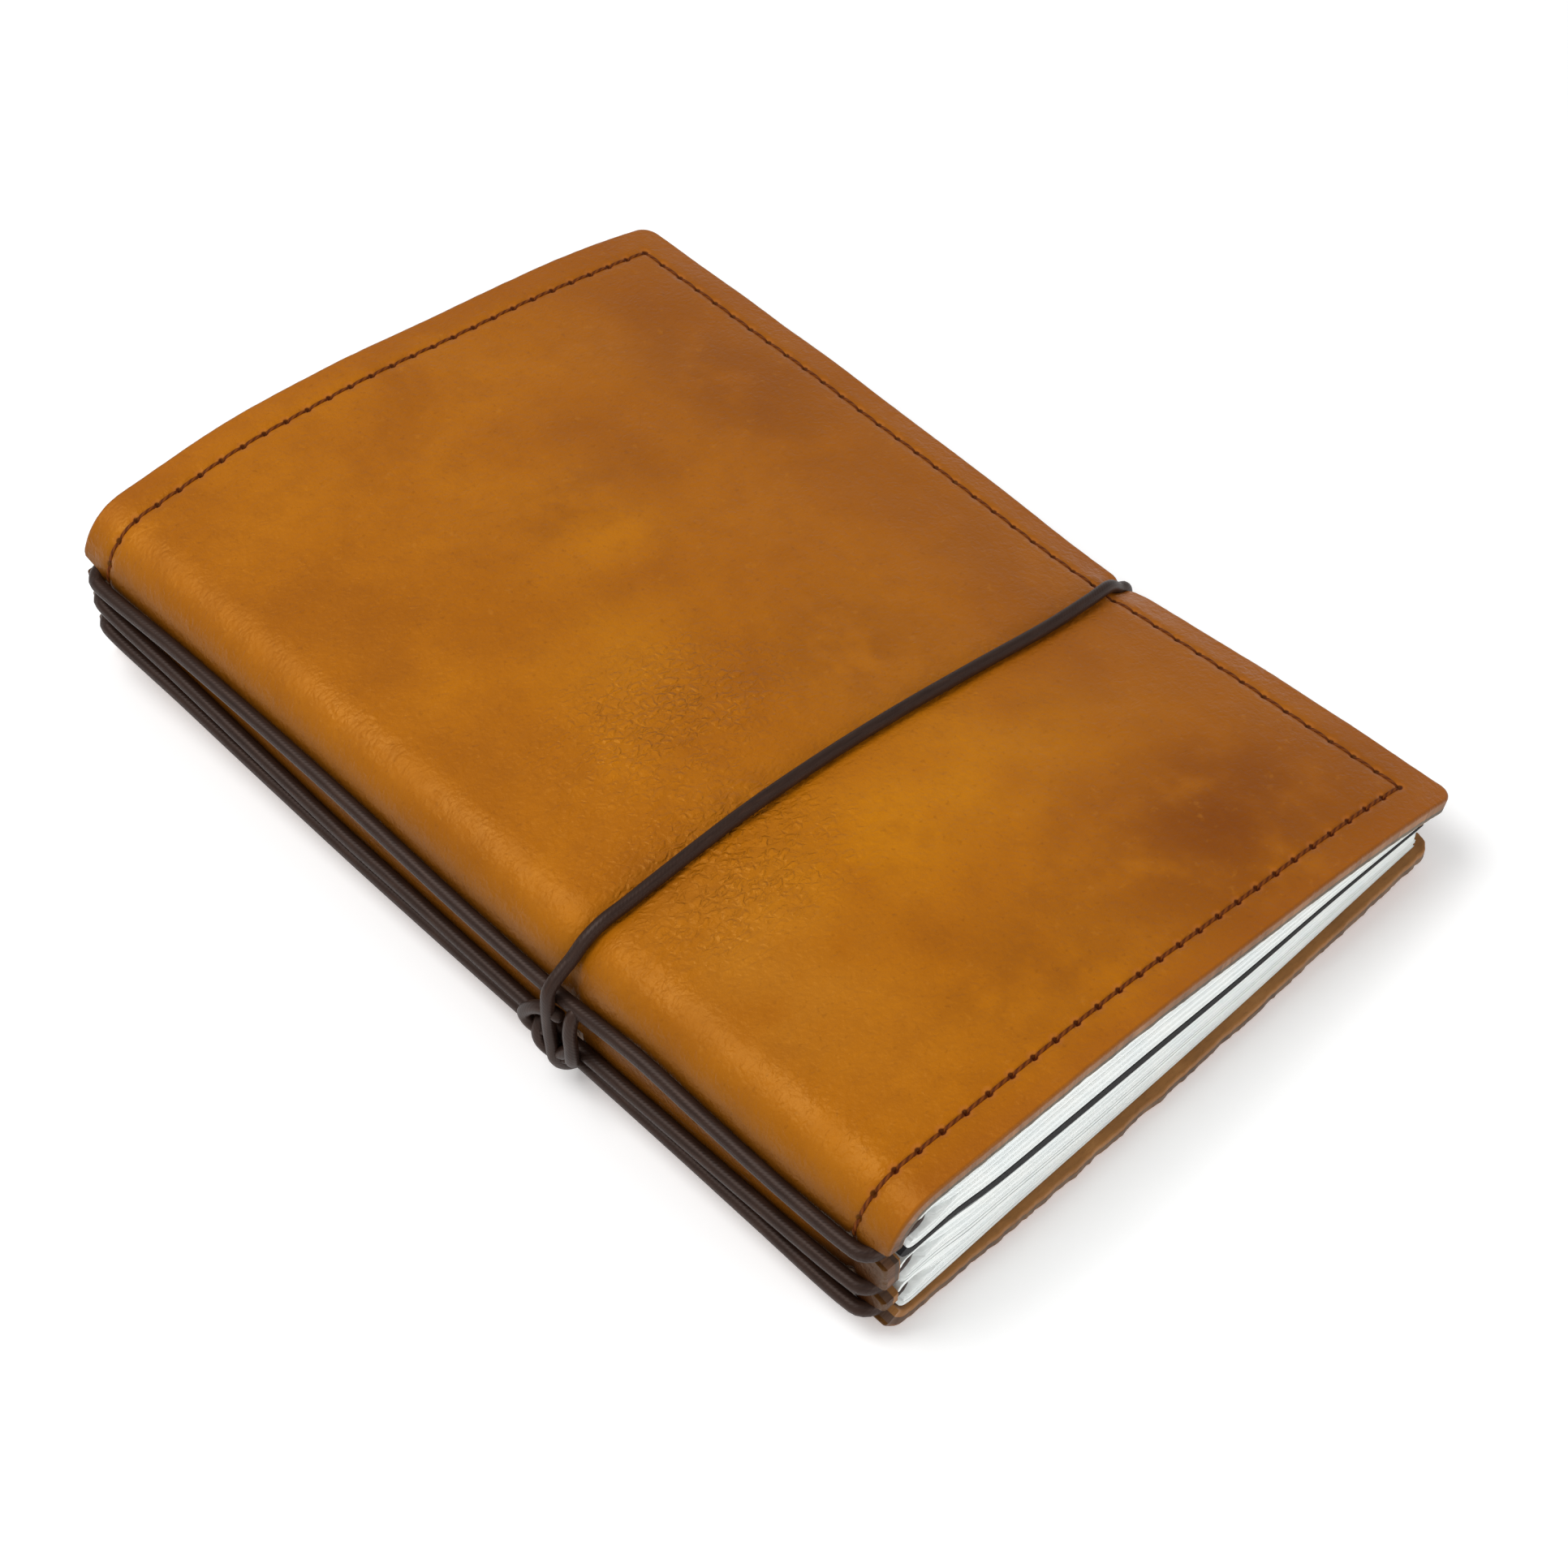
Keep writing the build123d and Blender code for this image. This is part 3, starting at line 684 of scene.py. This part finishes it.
def steel_material():
    sh = Shader("staple_wire")
    place = sh.node("ShaderNodeTexCoord").outputs["Object"]
    rough = sh.between(sh.noise(place, 0.4 * MM, 3), 0.3, 0.7, 0.22, 0.42)
    return sh.set(Base_Color=(0.62, 0.62, 0.63, 1), Metallic=1.0, Roughness=rough)


# Cloudy patches of the hide: place on the flattened front, size, colour, strength.
LEATHER_PATCHES = (
    ((56, -33), (44, 15), (198, 122, 8), 0.95),
    ((82, -60), (40, 24), (132, 66, 8), 0.85),
    ((84, -54), (16, 12), (120, 56, 8), 0.6),
    ((46, 8), (17, 13), (192, 118, 14), 0.8),
    ((58, 24), (20, 9), (192, 116, 10), 0.8),
    ((68, -8), (20, 17), (146, 80, 8), 0.7),
    ((60, 32), (24, 9), (150, 84, 12), 0.6),
    ((94, 38), (17, 32), (136, 72, 14), 0.7),
    ((26, -40), (16, 26), (194, 122, 28), 0.7),
    ((46, -58), (20, 14), (150, 84, 10), 0.6),
    ((97, -6), (12, 34), (146, 80, 18), 0.5),
)

leather = leather_material()
lining = lining_material()
edge_tan = cut_edge_material("cut_edge_leather", (160, 116, 82), (116, 84, 60))
edge_dark = cut_edge_material("cut_edge_lining", (112, 102, 86), (72, 64, 54))
edge_grey = cut_edge_material("cut_edge_back", (118, 92, 66), (74, 60, 50))
thread = thread_material()
cord = cord_material()
paper = paper_material("paper_leaves", (234, 239, 238), (242, 244, 241))
white_card = card_material("white_card", (228, 233, 231), (238, 241, 238))
# Near-black card for the first insert: a dark sheet standing in for the shade in the gap under it and in the
# wedge at its fold.
gap_shadow_card = card_material("gap_shadow_card", (16, 16, 18), (30, 29, 30))
steel = steel_material()

# ---------------------------------------------------------------- the hide and its lining
# Where each elastic runs down the outside of the spine: (Y, Z) from head to tail.
STRAND_RUNS = (
    ((66, 16.7), (50, 17.2), (28, 17.3), (17, 17.0), (6, 16.3), (-6, 15.7), (-19, 15.6), (-33, 17.0),
     (-44, 16.5), (-55, 16.1), (-66, 16.6)),
    ((66, 13.0), (50, 11.6), (33, 10.0), (20, 8.9), (9, 8.6), (-6, 8.1), (-20, 7.9), (-40, 8.3),
     (-52, 8.7), (-66, 9.6)),
    ((66, 8.5), (50, 7.5), (33, 6.5), (17, 5.8), (3, 5.6), (-20, 5.6), (-40, 5.4), (-52, 5.1),
     (-66, 4.9)),
)


def low_front(s, y):
    wave = 0.28 * fbm(s, y, 26, 7.7, 2) * smooth(12, 40, s)
    return wave + band_furrow(s, y)


def fine_front(s, y):
    return wrinkles(s, y) + stitch_dents(s, y, FRONT_ROW) + 0.02 * fbm(s, y, 2.2, 1.3, 3)


def low_back(s, y):
    """Gentle waves, and the furrow that the band lies in."""
    furrow = -1.3 * np.exp(-((y - BAND_Y) / 1.35) ** 4)
    return furrow + (0.1 * fbm(s, y, 24, 2.2, 2) - 0.22) * smooth(10, 30, s)


def fine_back(s, y):
    return stitch_dents(s, y, BACK_ROW) + 0.03 * fbm(s, y, 2.0, 4.4, 3)


def nothing(s, y):
    return np.zeros(np.shape(s))


def notches_of(sign):
    """Notch places along a path at the head and the tail: the front runs up the spine, the back down."""
    places = [[sign * (run[at][1] - SEAM_Z) for run in STRAND_RUNS] for at in (0, -1)]
    return [[place for place in end if place > -1.5] for end in places]


HIDE, LINING = (0, LEATHER), (LEATHER, SHELL)
on_front = dict(path=FRONT, row=FRONT_ROW, low=low_front, lift=fore_squeeze, notches=notches_of(1))
on_back = dict(path=BACK, row=BACK_ROW, low=low_back, lift=back_lift, notches=notches_of(-1), side=-1)
front_leather = panel("cover_front_leather", depths=HIDE, fine=fine_front, rounds=(0.45, 0.0),
                      materials=(leather, lining, edge_tan), rag=RAGGED["front"], **on_front)
front_lining = panel("cover_front_lining", depths=LINING, fine=nothing, rounds=(0.0, 0.3),
                     materials=(lining, lining, edge_dark), rag=RAGGED["front lining"], **on_front)
back_leather = panel("cover_back_leather", depths=HIDE, fine=fine_back, rounds=(0.5, 0.0),
                     materials=(leather, lining, edge_grey), rag=RAGGED["back"], **on_back)
back_lining = panel("cover_back_lining", depths=LINING, fine=nothing, rounds=(0.0, 0.25),
                    materials=(lining, lining, lining), rag=RAGGED["back lining"], **on_back)
for thing, row in ((front_leather, FRONT_ROW), (back_leather, BACK_ROW)):
    attribute = thing.data.attributes.new("row", "FLOAT", "POINT")
    attribute.data.foreach_set("value", np.full(len(thing.data.vertices), row, np.float32))


# ---------------------------------------------------------------- stitches
def on_cover(cover, s, y, height):
    """Points at a height over the relaxed outside of the cover."""
    s, y = np.atleast_1d(np.array(s, float)), np.atleast_1d(np.array(y, float))
    offset = cover.get("side", 1) * (cover["low"](s, y) + height)
    return layer_points(cover["path"], s, y, offset, cover["lift"])


def stitch(cover, start, end):
    """One stitch between two holes, drawn tight into its groove."""
    share = np.array((0.06, 0.14, 0.3, 0.5, 0.7, 0.86, 0.94))
    height = np.array((-0.62, -0.32, -0.19, -0.16, -0.19, -0.32, -0.62))
    s = start[0] + (end[0] - start[0]) * share
    y = start[1] + (end[1] - start[1]) * share
    points = on_cover(cover, s, y, height)
    normal = on_cover(cover, s[3], y[3], 1.0)[0] - points[3]
    return tube_parts(points, 0.25, sides=8, spacing=0.3, flat=0.75, up=normal)


def end_stitches(cover, holes):
    """The rows along both ends, hole to hole."""
    return [stitch(cover, (a, edge), (b, edge)) for a, b in zip(holes[:-1], holes[1:])
            for edge in (-ROW_Y, ROW_Y)]


def stitches(name, cover, end_holes):
    """The row along the fore edge, and those along both ends."""
    row = cover["row"]
    parts = [stitch(cover, (row, a), (row, b)) for a, b in zip(fore_holes[:-1], fore_holes[1:])]
    return joined(name, parts + end_stitches(cover, end_holes), [thread])


fore_holes = np.arange(-ROW_Y, ROW_Y + 0.01, PITCH)
front_end_holes = np.arange(FRONT_ROW, 8.5, -PITCH)
front_stitches = stitches("front_stitching", on_front, front_end_holes)
back_stitches = stitches("back_stitching", on_back, np.arange(BACK_ROW, 5.0, -PITCH))
last = front_end_holes[-1]
spine_holes = [last, last - PITCH, max(last - 1.9 * PITCH, 0.3)]
spine_stitches = joined("spine_stitching", end_stitches(on_front, spine_holes), [thread])


# ---------------------------------------------------------------- elastics
RADIUS = CORD / 2


def hug_x(z):
    """X of an elastic's middle that lies against the outside of the spine at this height."""
    clear = RADIUS + 0.04
    for centre, fold, beyond in ((UPPER, UPPER_FOLD, z > UPPER[1]), (LOWER, LOWER_FOLD, z < LOWER[1])):
        if beyond:
            return centre[0] - math.sqrt((fold + clear) ** 2 - (z - centre[1]) ** 2)
    return SPINE_X - clear


def crossing(end, z, inner_x, inner_z):
    """Where an elastic turns in through its notch and into its fold."""
    bottom = HALF - END_TAPER[end] - NOTCH[end] + RADIUS
    return [(SPINE_X - 0.7, end * (bottom - 1.0), z), (SPINE_X + 0.5, end * bottom, z),
            (0.6 * SPINE_X + 0.4 * inner_x, end * bottom, 0.7 * z + 0.3 * inner_z),
            (inner_x - 0.9, end * (bottom - 0.15), inner_z), (inner_x - 0.1, end * (bottom - 0.9), inner_z),
            (inner_x, end * (bottom - 3), inner_z), (inner_x, end * 30, inner_z)]


def elastic(name, run, routes):
    """A closed loop: down the outside of the spine, in through its notches and back inside the fold."""
    points = [(hug_x(z), y, z) for y, z in run] + routes[TAIL] + routes[HEAD][::-1]
    return joined(name, [tube_parts(points, RADIUS, closed=True)], [cord])


# Each insert's number of sheets, and their thickness in one half.
INSERTS = {"first": (16, 1.95), "second": (10, 1.25), "third": (7, 0.8)}
# How square each fold's nose is, above and below: 1 is an ellipse.
NOSE = {"first": (1.0, 0.45), "second": (0.45, 0.45), "third": (0.45, 0.9)}
CARD = 0.3
SLACK = RADIUS + 0.2  # room in the fold for the elastic, across
HOLLOW = RADIUS + 0.1  # and up


def fold_middle(name):
    """Where the elastic lies in an insert's fold."""
    return limits(f"{name}_insert_card_cover")[0][0] + CARD + INSERTS[name][1] + SLACK


# ---------------------------------------------------------------- closure band
BAND_RADIUS = 0.9 * RADIUS
LEG_X = SPINE_X - CORD - BAND_RADIUS - 0.05


def band_points():
    """The band: over the fold and the front, round the fore edge, back under, and up over the elastics."""
    y = BAND_Y
    fore_s = FRONT.length_at_x(FORE_X - 4.0, 18.5)
    over = [(11.5, y + 0.45), (14.0, y + 0.35), (17.0, y + 0.25), (20.5, y + 0.1)]
    over += [(s, y) for s in np.linspace(25, fore_s - 14, 6)]
    over += [(fore_s - 5.5, y + 0.6), (fore_s, y + 1.4)]
    points = [on_cover(on_front, *place, BAND_RADIUS + 0.03)[0] for place in over]
    tip_x, tip_y, tip_z = on_cover(on_front, FRONT.end, TIP_Y, 0.0)[0]
    points += [(tip_x - 1.0, tip_y, tip_z + 0.95), (tip_x + 0.15, tip_y, tip_z + 0.25),
               (tip_x + 0.7, tip_y, tip_z - 0.7), (tip_x + 0.7, tip_y, tip_z - 2.4),
               (BACK_FORE_X + 1.0, y + 0.4, 2.9), (BACK_FORE_X - 0.6, y + 0.1, 1.25),
               (BACK_FORE_X - 4, y, 0.93), (30, y, 0.9), (0, y, 0.9), (-30, y, 0.9),
               (-42, y, 0.93), (-46.4, y, 1.2), (-49.0, y, 2.7), (LEG_X + 0.1, y + 0.1, 5.2),
               (LEG_X, y + 0.4, 8.0), (LEG_X, y + 0.6, 12.0), (LEG_X + 0.02, y + 0.5, 15.6),
               (LEG_X + 0.55, y + 0.5, 18.2)]
    return points


band = joined("closure_band_loop", [tube_parts(band_points(), BAND_RADIUS, closed=True)], [cord])


# ---------------------------------------------------------------- the band's hitch
def hitch():
    """Turns of the band round the lower elastics, beside its main leg."""
    x = LEG_X
    left = [(x + 0.9, -21.9, 13.4), (x + 0.35, -20.2, 14.0), (x, -18.6, 13.5), (x - 0.25, -16.9, 11.8),
            (x - 0.3, -16.1, 10.0), (x - 0.1, -16.8, 8.8), (x + 0.25, -18.2, 8.6), (x + 1.3, -19.6, 9.2)]
    lump = [(x + 1.2, -17.8, 10.4), (x + 0.1, -18.0, 8.9), (x - 0.2, -18.4, 7.2), (x + 0.1, -19.3, 6.0),
            (x + 0.7, -20.6, 5.2), (x + 1.4, -22.1, 5.2)]
    right = [(x + 2.2, -23.2, 16.0), (x + 0.9, -23.4, 15.4), (x + 0.15, -23.6, 13.4), (x, -23.8, 11.0),
             (x, -23.8, 9.2), (x + 0.25, -23.5, 7.6), (x + 1.1, -23.1, 6.5), (x + 2.3, -22.5, 5.9)]
    cross = [(x + 0.9, -23.2, 9.0), (x + 0.55, -22.3, 7.8), (x + 0.4, -21.2, 6.7), (x + 0.8, -20.3, 6.2)]
    return [tube_parts(p, BAND_RADIUS, spacing=0.35) for p in (left, lump, right, cross)]


knot = joined("closure_hitch", hitch(), [cord])


# ---------------------------------------------------------------- paper inserts
# X and height of the gaps between the inserts, from the spine to the fore edge.
FIRST_GAP = ((-46, 13.6), (-38, 12.9), (-30, 11.5), (-18, 10.5), (-4, 9.6), (12, 8.5), (28, 8.1),
             (48, 6.9))
SECOND_GAP = ((-46, 9.0), (-37, 7.2), (-28, 6.6), (-15, 5.7), (2, 5.5), (14, 5.1), (30, 5.2),
              (48, 4.9))


def inner_front(x, y):
    """Underside of the front lining."""
    beyond = FRONT.length > 18.5
    s = np.interp(x, FRONT.p[beyond, 0], FRONT.length[beyond])
    return panel_z(x) - SHELL * 1.03 + fore_squeeze(x, y) + low_front(s, y) - 0.06


def inner_back(x, y):
    """Upper side of the back lining."""
    s = np.interp(x, BACK.p[20:, 0], BACK.length[20:])
    return SHELL + back_lift(x, y) - low_back(s, y) + 0.06


def insert_room(name, x, y):
    """Bottom and top of an insert beyond its fold."""
    squeeze = 0.5 * fore_squeeze(x, y)
    first_gap, second_gap = curve(FIRST_GAP, x) + squeeze, curve(SECOND_GAP, x) + 0.6 * squeeze
    wedge, crack = 0.10 - 0.06 * smooth(-46, 14, x), 0.11
    roof = inner_front(x, y) - 0.45 * (1 - smooth(-28, 0, x))
    return {"first": (first_gap + wedge, roof), "second": (second_gap + crack, first_gap - wedge),
            "third": (inner_back(x, y), second_gap - crack)}[name]


def fold_of(name):
    """Middle and half height of an insert's fold in section."""
    x = fold_middle(name)
    low, high = insert_room(name, x, 0.0)
    high = min(high, UPPER[1] + 0.92 * (UPPER_FOLD - SHELL))
    return x, float(low + high) / 2, float(high - low) / 2


FOLDS = {name: fold_of(name) for name in INSERTS}
ROUTES = {name: {end: crossing(end, run[at][1], *FOLDS[name][:2]) for end, at in ((HEAD, 0), (TAIL, -1))}
          for name, run in zip(INSERTS, STRAND_RUNS)}
elastics = [elastic(f"elastic_{name}", run, ROUTES[name]) for name, run in zip(INSERTS, STRAND_RUNS)]


def insert_grid(name, fold):
    """Places across an insert, and its underside and top there."""
    fx, fz, half = fold
    fore = limits(f"{name}_insert_card_cover")[1][0]
    xs = fx + (fore - fx) * np.linspace(0, 1, 34) ** 1.25
    x, y = np.meshgrid(xs, np.linspace(-1, 1, 41) * PAPER_HALF, indexing="ij")
    low, high = insert_room(name, x, y)
    ease = smooth(fx - 1, fx + 9, x)
    low = (fz - half) * (1 - ease) + np.maximum(low, 2.0) * ease
    return x, y, low, (fz + half) * (1 - ease) + high * ease


def bitten(shell):
    """The ends of the folds are pressed in where an elastic turns into them."""
    for column, end in ((0, TAIL), (-1, HEAD)):
        flush = HALF - END_TAPER[end] - NOTCH[end] - 0.1
        rim = shell[:, column]
        for route in ROUTES.values():
            line = smooth_line(route[end][:-1], 0.4)[0]
            away = np.hypot(rim[:, 0][:, None] - line[:, 0], rim[:, 2][:, None] - line[:, 2])
            rim[:, 1] -= np.exp(-(away.min(1) / 1.35) ** 8) * (rim[:, 1] - end * flush)
    return shell


def leaf(grid, fold, nose, wall, outer, thick, seed, extra=0.0):
    """Outside and inside of one folded sheet: outer is its distance in from the insert's back, at the fold."""
    fx, fz, half = fold
    x, y, low, high = grid
    x = fx + (x - fx) * (1 + 0.0012 * math.sin(seed * 5.1))
    y = y * (1 + 0.0008 * math.sin(seed * 7.3) + extra / PAPER_HALF)
    turns = np.radians(np.linspace(90, 270, 15))[1:-1, None]
    shells = []
    for depth in (outer, outer + thick):
        inset = 0.5 * depth / (wall + 0.05)
        reach = fx - SPINE_X - SHELL - 0.15
        across = SLACK + (reach - SLACK) * (1 - 2 * inset)
        up = half * (1 - 2 * inset) + HOLLOW * 2 * inset
        rise = np.sin(turns)
        square = np.where(rise > 0, *nose)
        rise = np.sign(rise) * np.abs(rise) ** np.where(square < 0.6, 0.6, 1.0)
        bend = np.stack(np.broadcast_arrays(fx - across * np.abs(np.cos(turns)) ** square, y[:1],
                                            fz + up * rise), -1)
        spread = HOLLOW * 2 * inset * (1 - smooth(fx, fx + 4.5, x))
        top = np.stack([x, y, high - (high - low) * inset + spread], -1)[::-1]
        bottom = np.stack([x, y, low + (high - low) * inset - spread], -1)
        shells.append(bitten(np.concatenate([top, bend, bottom])))
    return shells


def shell_parts(shells, part=slice(None)):
    """Closed thin solid between two matching grids."""
    outside, inside = (grid[part] for grid in shells)
    faces = np.concatenate(shell_faces(*outside.shape[:2]))[:, ::-1]
    verts = np.concatenate([outside.reshape(-1, 3), inside.reshape(-1, 3)])
    uvs = verts[:, :2] + verts[:, 2:] * 0.7
    return verts, [tuple(f) for f in faces], uvs


def make_insert(name, card_look, card_thick):
    """A card cover, and the leaves in two halves that meet in the fold."""
    sheets, paper_wall = INSERTS[name]
    wall = CARD + paper_wall
    fold = FOLDS[name]
    grid = insert_grid(name, fold)
    cover = leaf(grid, fold, NOSE[name], wall, 0.0, card_thick, 0.3, 0.12)
    card = joined(f"{name}_insert_card", [shell_parts(cover)], [card_look])
    step = (wall - card_thick) / sheets
    upper, lower = [], []
    for i in range(sheets):
        shells = leaf(grid, fold, NOSE[name], wall, card_thick + 0.02 + i * step, step * 0.97, i + 1)
        middle = len(shells[0]) // 2
        upper.append(shell_parts(shells, slice(0, middle + 1)))
        lower.append(shell_parts(shells, slice(middle, None)))
    return (card, joined(f"{name}_insert_upper_leaves", upper, [paper]),
            joined(f"{name}_insert_lower_leaves", lower, [paper]))


# The first insert's near-black card is painted shade for the gap below it.
inserts = {"first": make_insert("first", gap_shadow_card, 0.62),
           "second": make_insert("second", white_card, 0.3),
           "third": make_insert("third", white_card, 0.3)}

# ---------------------------------------------------------------- what moves with what
def at(x, z):
    """A point of the middle section, in metres."""
    return float(x * MM), 0.0, float(z * MM)


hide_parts("front_leather", "spine_leather")
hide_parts("front_lining", "spine_lining")
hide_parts("back_leather")
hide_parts("back_lining")
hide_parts("front_thread")
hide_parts("spine_thread")
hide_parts("back_thread")
for thing in (front_leather, front_lining, front_stitches):
    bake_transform(thing)
for thing in (back_leather, back_lining, back_stitches):
    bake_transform(thing)
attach(spine_stitches, "spine")

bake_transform(elastics[0])
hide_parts("first_elastic")
for thing, name, z in zip(elastics[1:], ("second", "third"), STRAND_Z[1:]):
    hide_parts(f"{name}_elastic_outside", f"{name}_elastic_inside")
    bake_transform(thing)
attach(band, "back_cover")
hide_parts("closure_band")
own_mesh(band)
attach(knot, "spine")
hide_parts("closure_knot")

for name, (card, upper, lower) in inserts.items():
    body = "first_insert" if name == "first" else "back_cover"
    for piece, node, slot in ((card, "card_cover", "card"), (upper, "front_leaves", "paper"),
                              (lower, "rear_leaves", "paper")):
        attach(piece, body)
        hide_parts(f"{name}_insert_{node}")
    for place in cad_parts[f"{name}_insert_staples"].material_slots:
        place.material = steel

# ---------------------------------------------------------------- camera, light and floor
camera_data = bpy.data.cameras.new("camera")
camera_data.lens = 71.29
camera_data.sensor_width = 36.0
camera = bpy.data.objects.new("camera", camera_data)
bpy.context.scene.collection.objects.link(camera)
# The camera's right, up and backward directions, and its place.
CAMERA = ((0.71420, -0.69994, 0.0), (0.54694, 0.55797, 0.62412), (-0.43677, -0.44582, 0.78133),
          (-170.6 * MM, -180.7 * MM, 304.0 * MM))
camera.matrix_world = Matrix((*zip(*CAMERA), (0, 0, 0, 1)))
bpy.context.scene.camera = camera
bpy.context.scene.view_settings.view_transform = "Standard"


def area(name, place, target, size, power):
    data = bpy.data.lights.new(name, "AREA")
    data.shape = "RECTANGLE"
    data.size, data.size_y = size
    data.energy = power
    light = bpy.data.objects.new(name, data)
    light.location = place
    light.rotation_euler = (Vector(target) - Vector(place)).to_track_quat("-Z", "Y").to_euler()
    bpy.context.scene.collection.objects.link(light)


area("over", (-0.28, 0.24, 0.72), (0, 0, 0), (0.45, 0.45), 3.7)
area("spine_side", (-0.75, -0.15, 0.35), (0, 0, 0.01), (0.5, 0.5), 0.5)
area("tail_side", (0.0, -0.8, 0.3), (0, 0, 0.01), (0.7, 0.35), 2.4)

world = bpy.data.worlds.new("studio")
bpy.context.scene.world = world
world.use_nodes = True
world.node_tree.nodes["Background"].inputs["Color"].default_value = (1, 1, 1, 1)
world.node_tree.nodes["Background"].inputs["Strength"].default_value = 0.40

FLOOR_HALF = 900
floor_verts = [(x * FLOOR_HALF, y * FLOOR_HALF, 0) for x, y in ((-1, -1), (1, -1), (1, 1), (-1, 1))]
sh = Shader("studio_floor")
place = sh.node("ShaderNodeTexCoord").outputs["Object"]
tone = sh.ramp(sh.noise(place, 0.3, 2), (0.3, (0.93, 0.93, 0.93)), (0.7, (0.95, 0.95, 0.95)))
sh.set(Base_Color=tone, Roughness=0.9, Specular_IOR_Level=0.1, Emission_Color=(1, 1, 1, 1),
       Emission_Strength=0.22)
make_object("studio_floor", floor_verts, [(0, 1, 2, 3)], materials=[sh.mat])
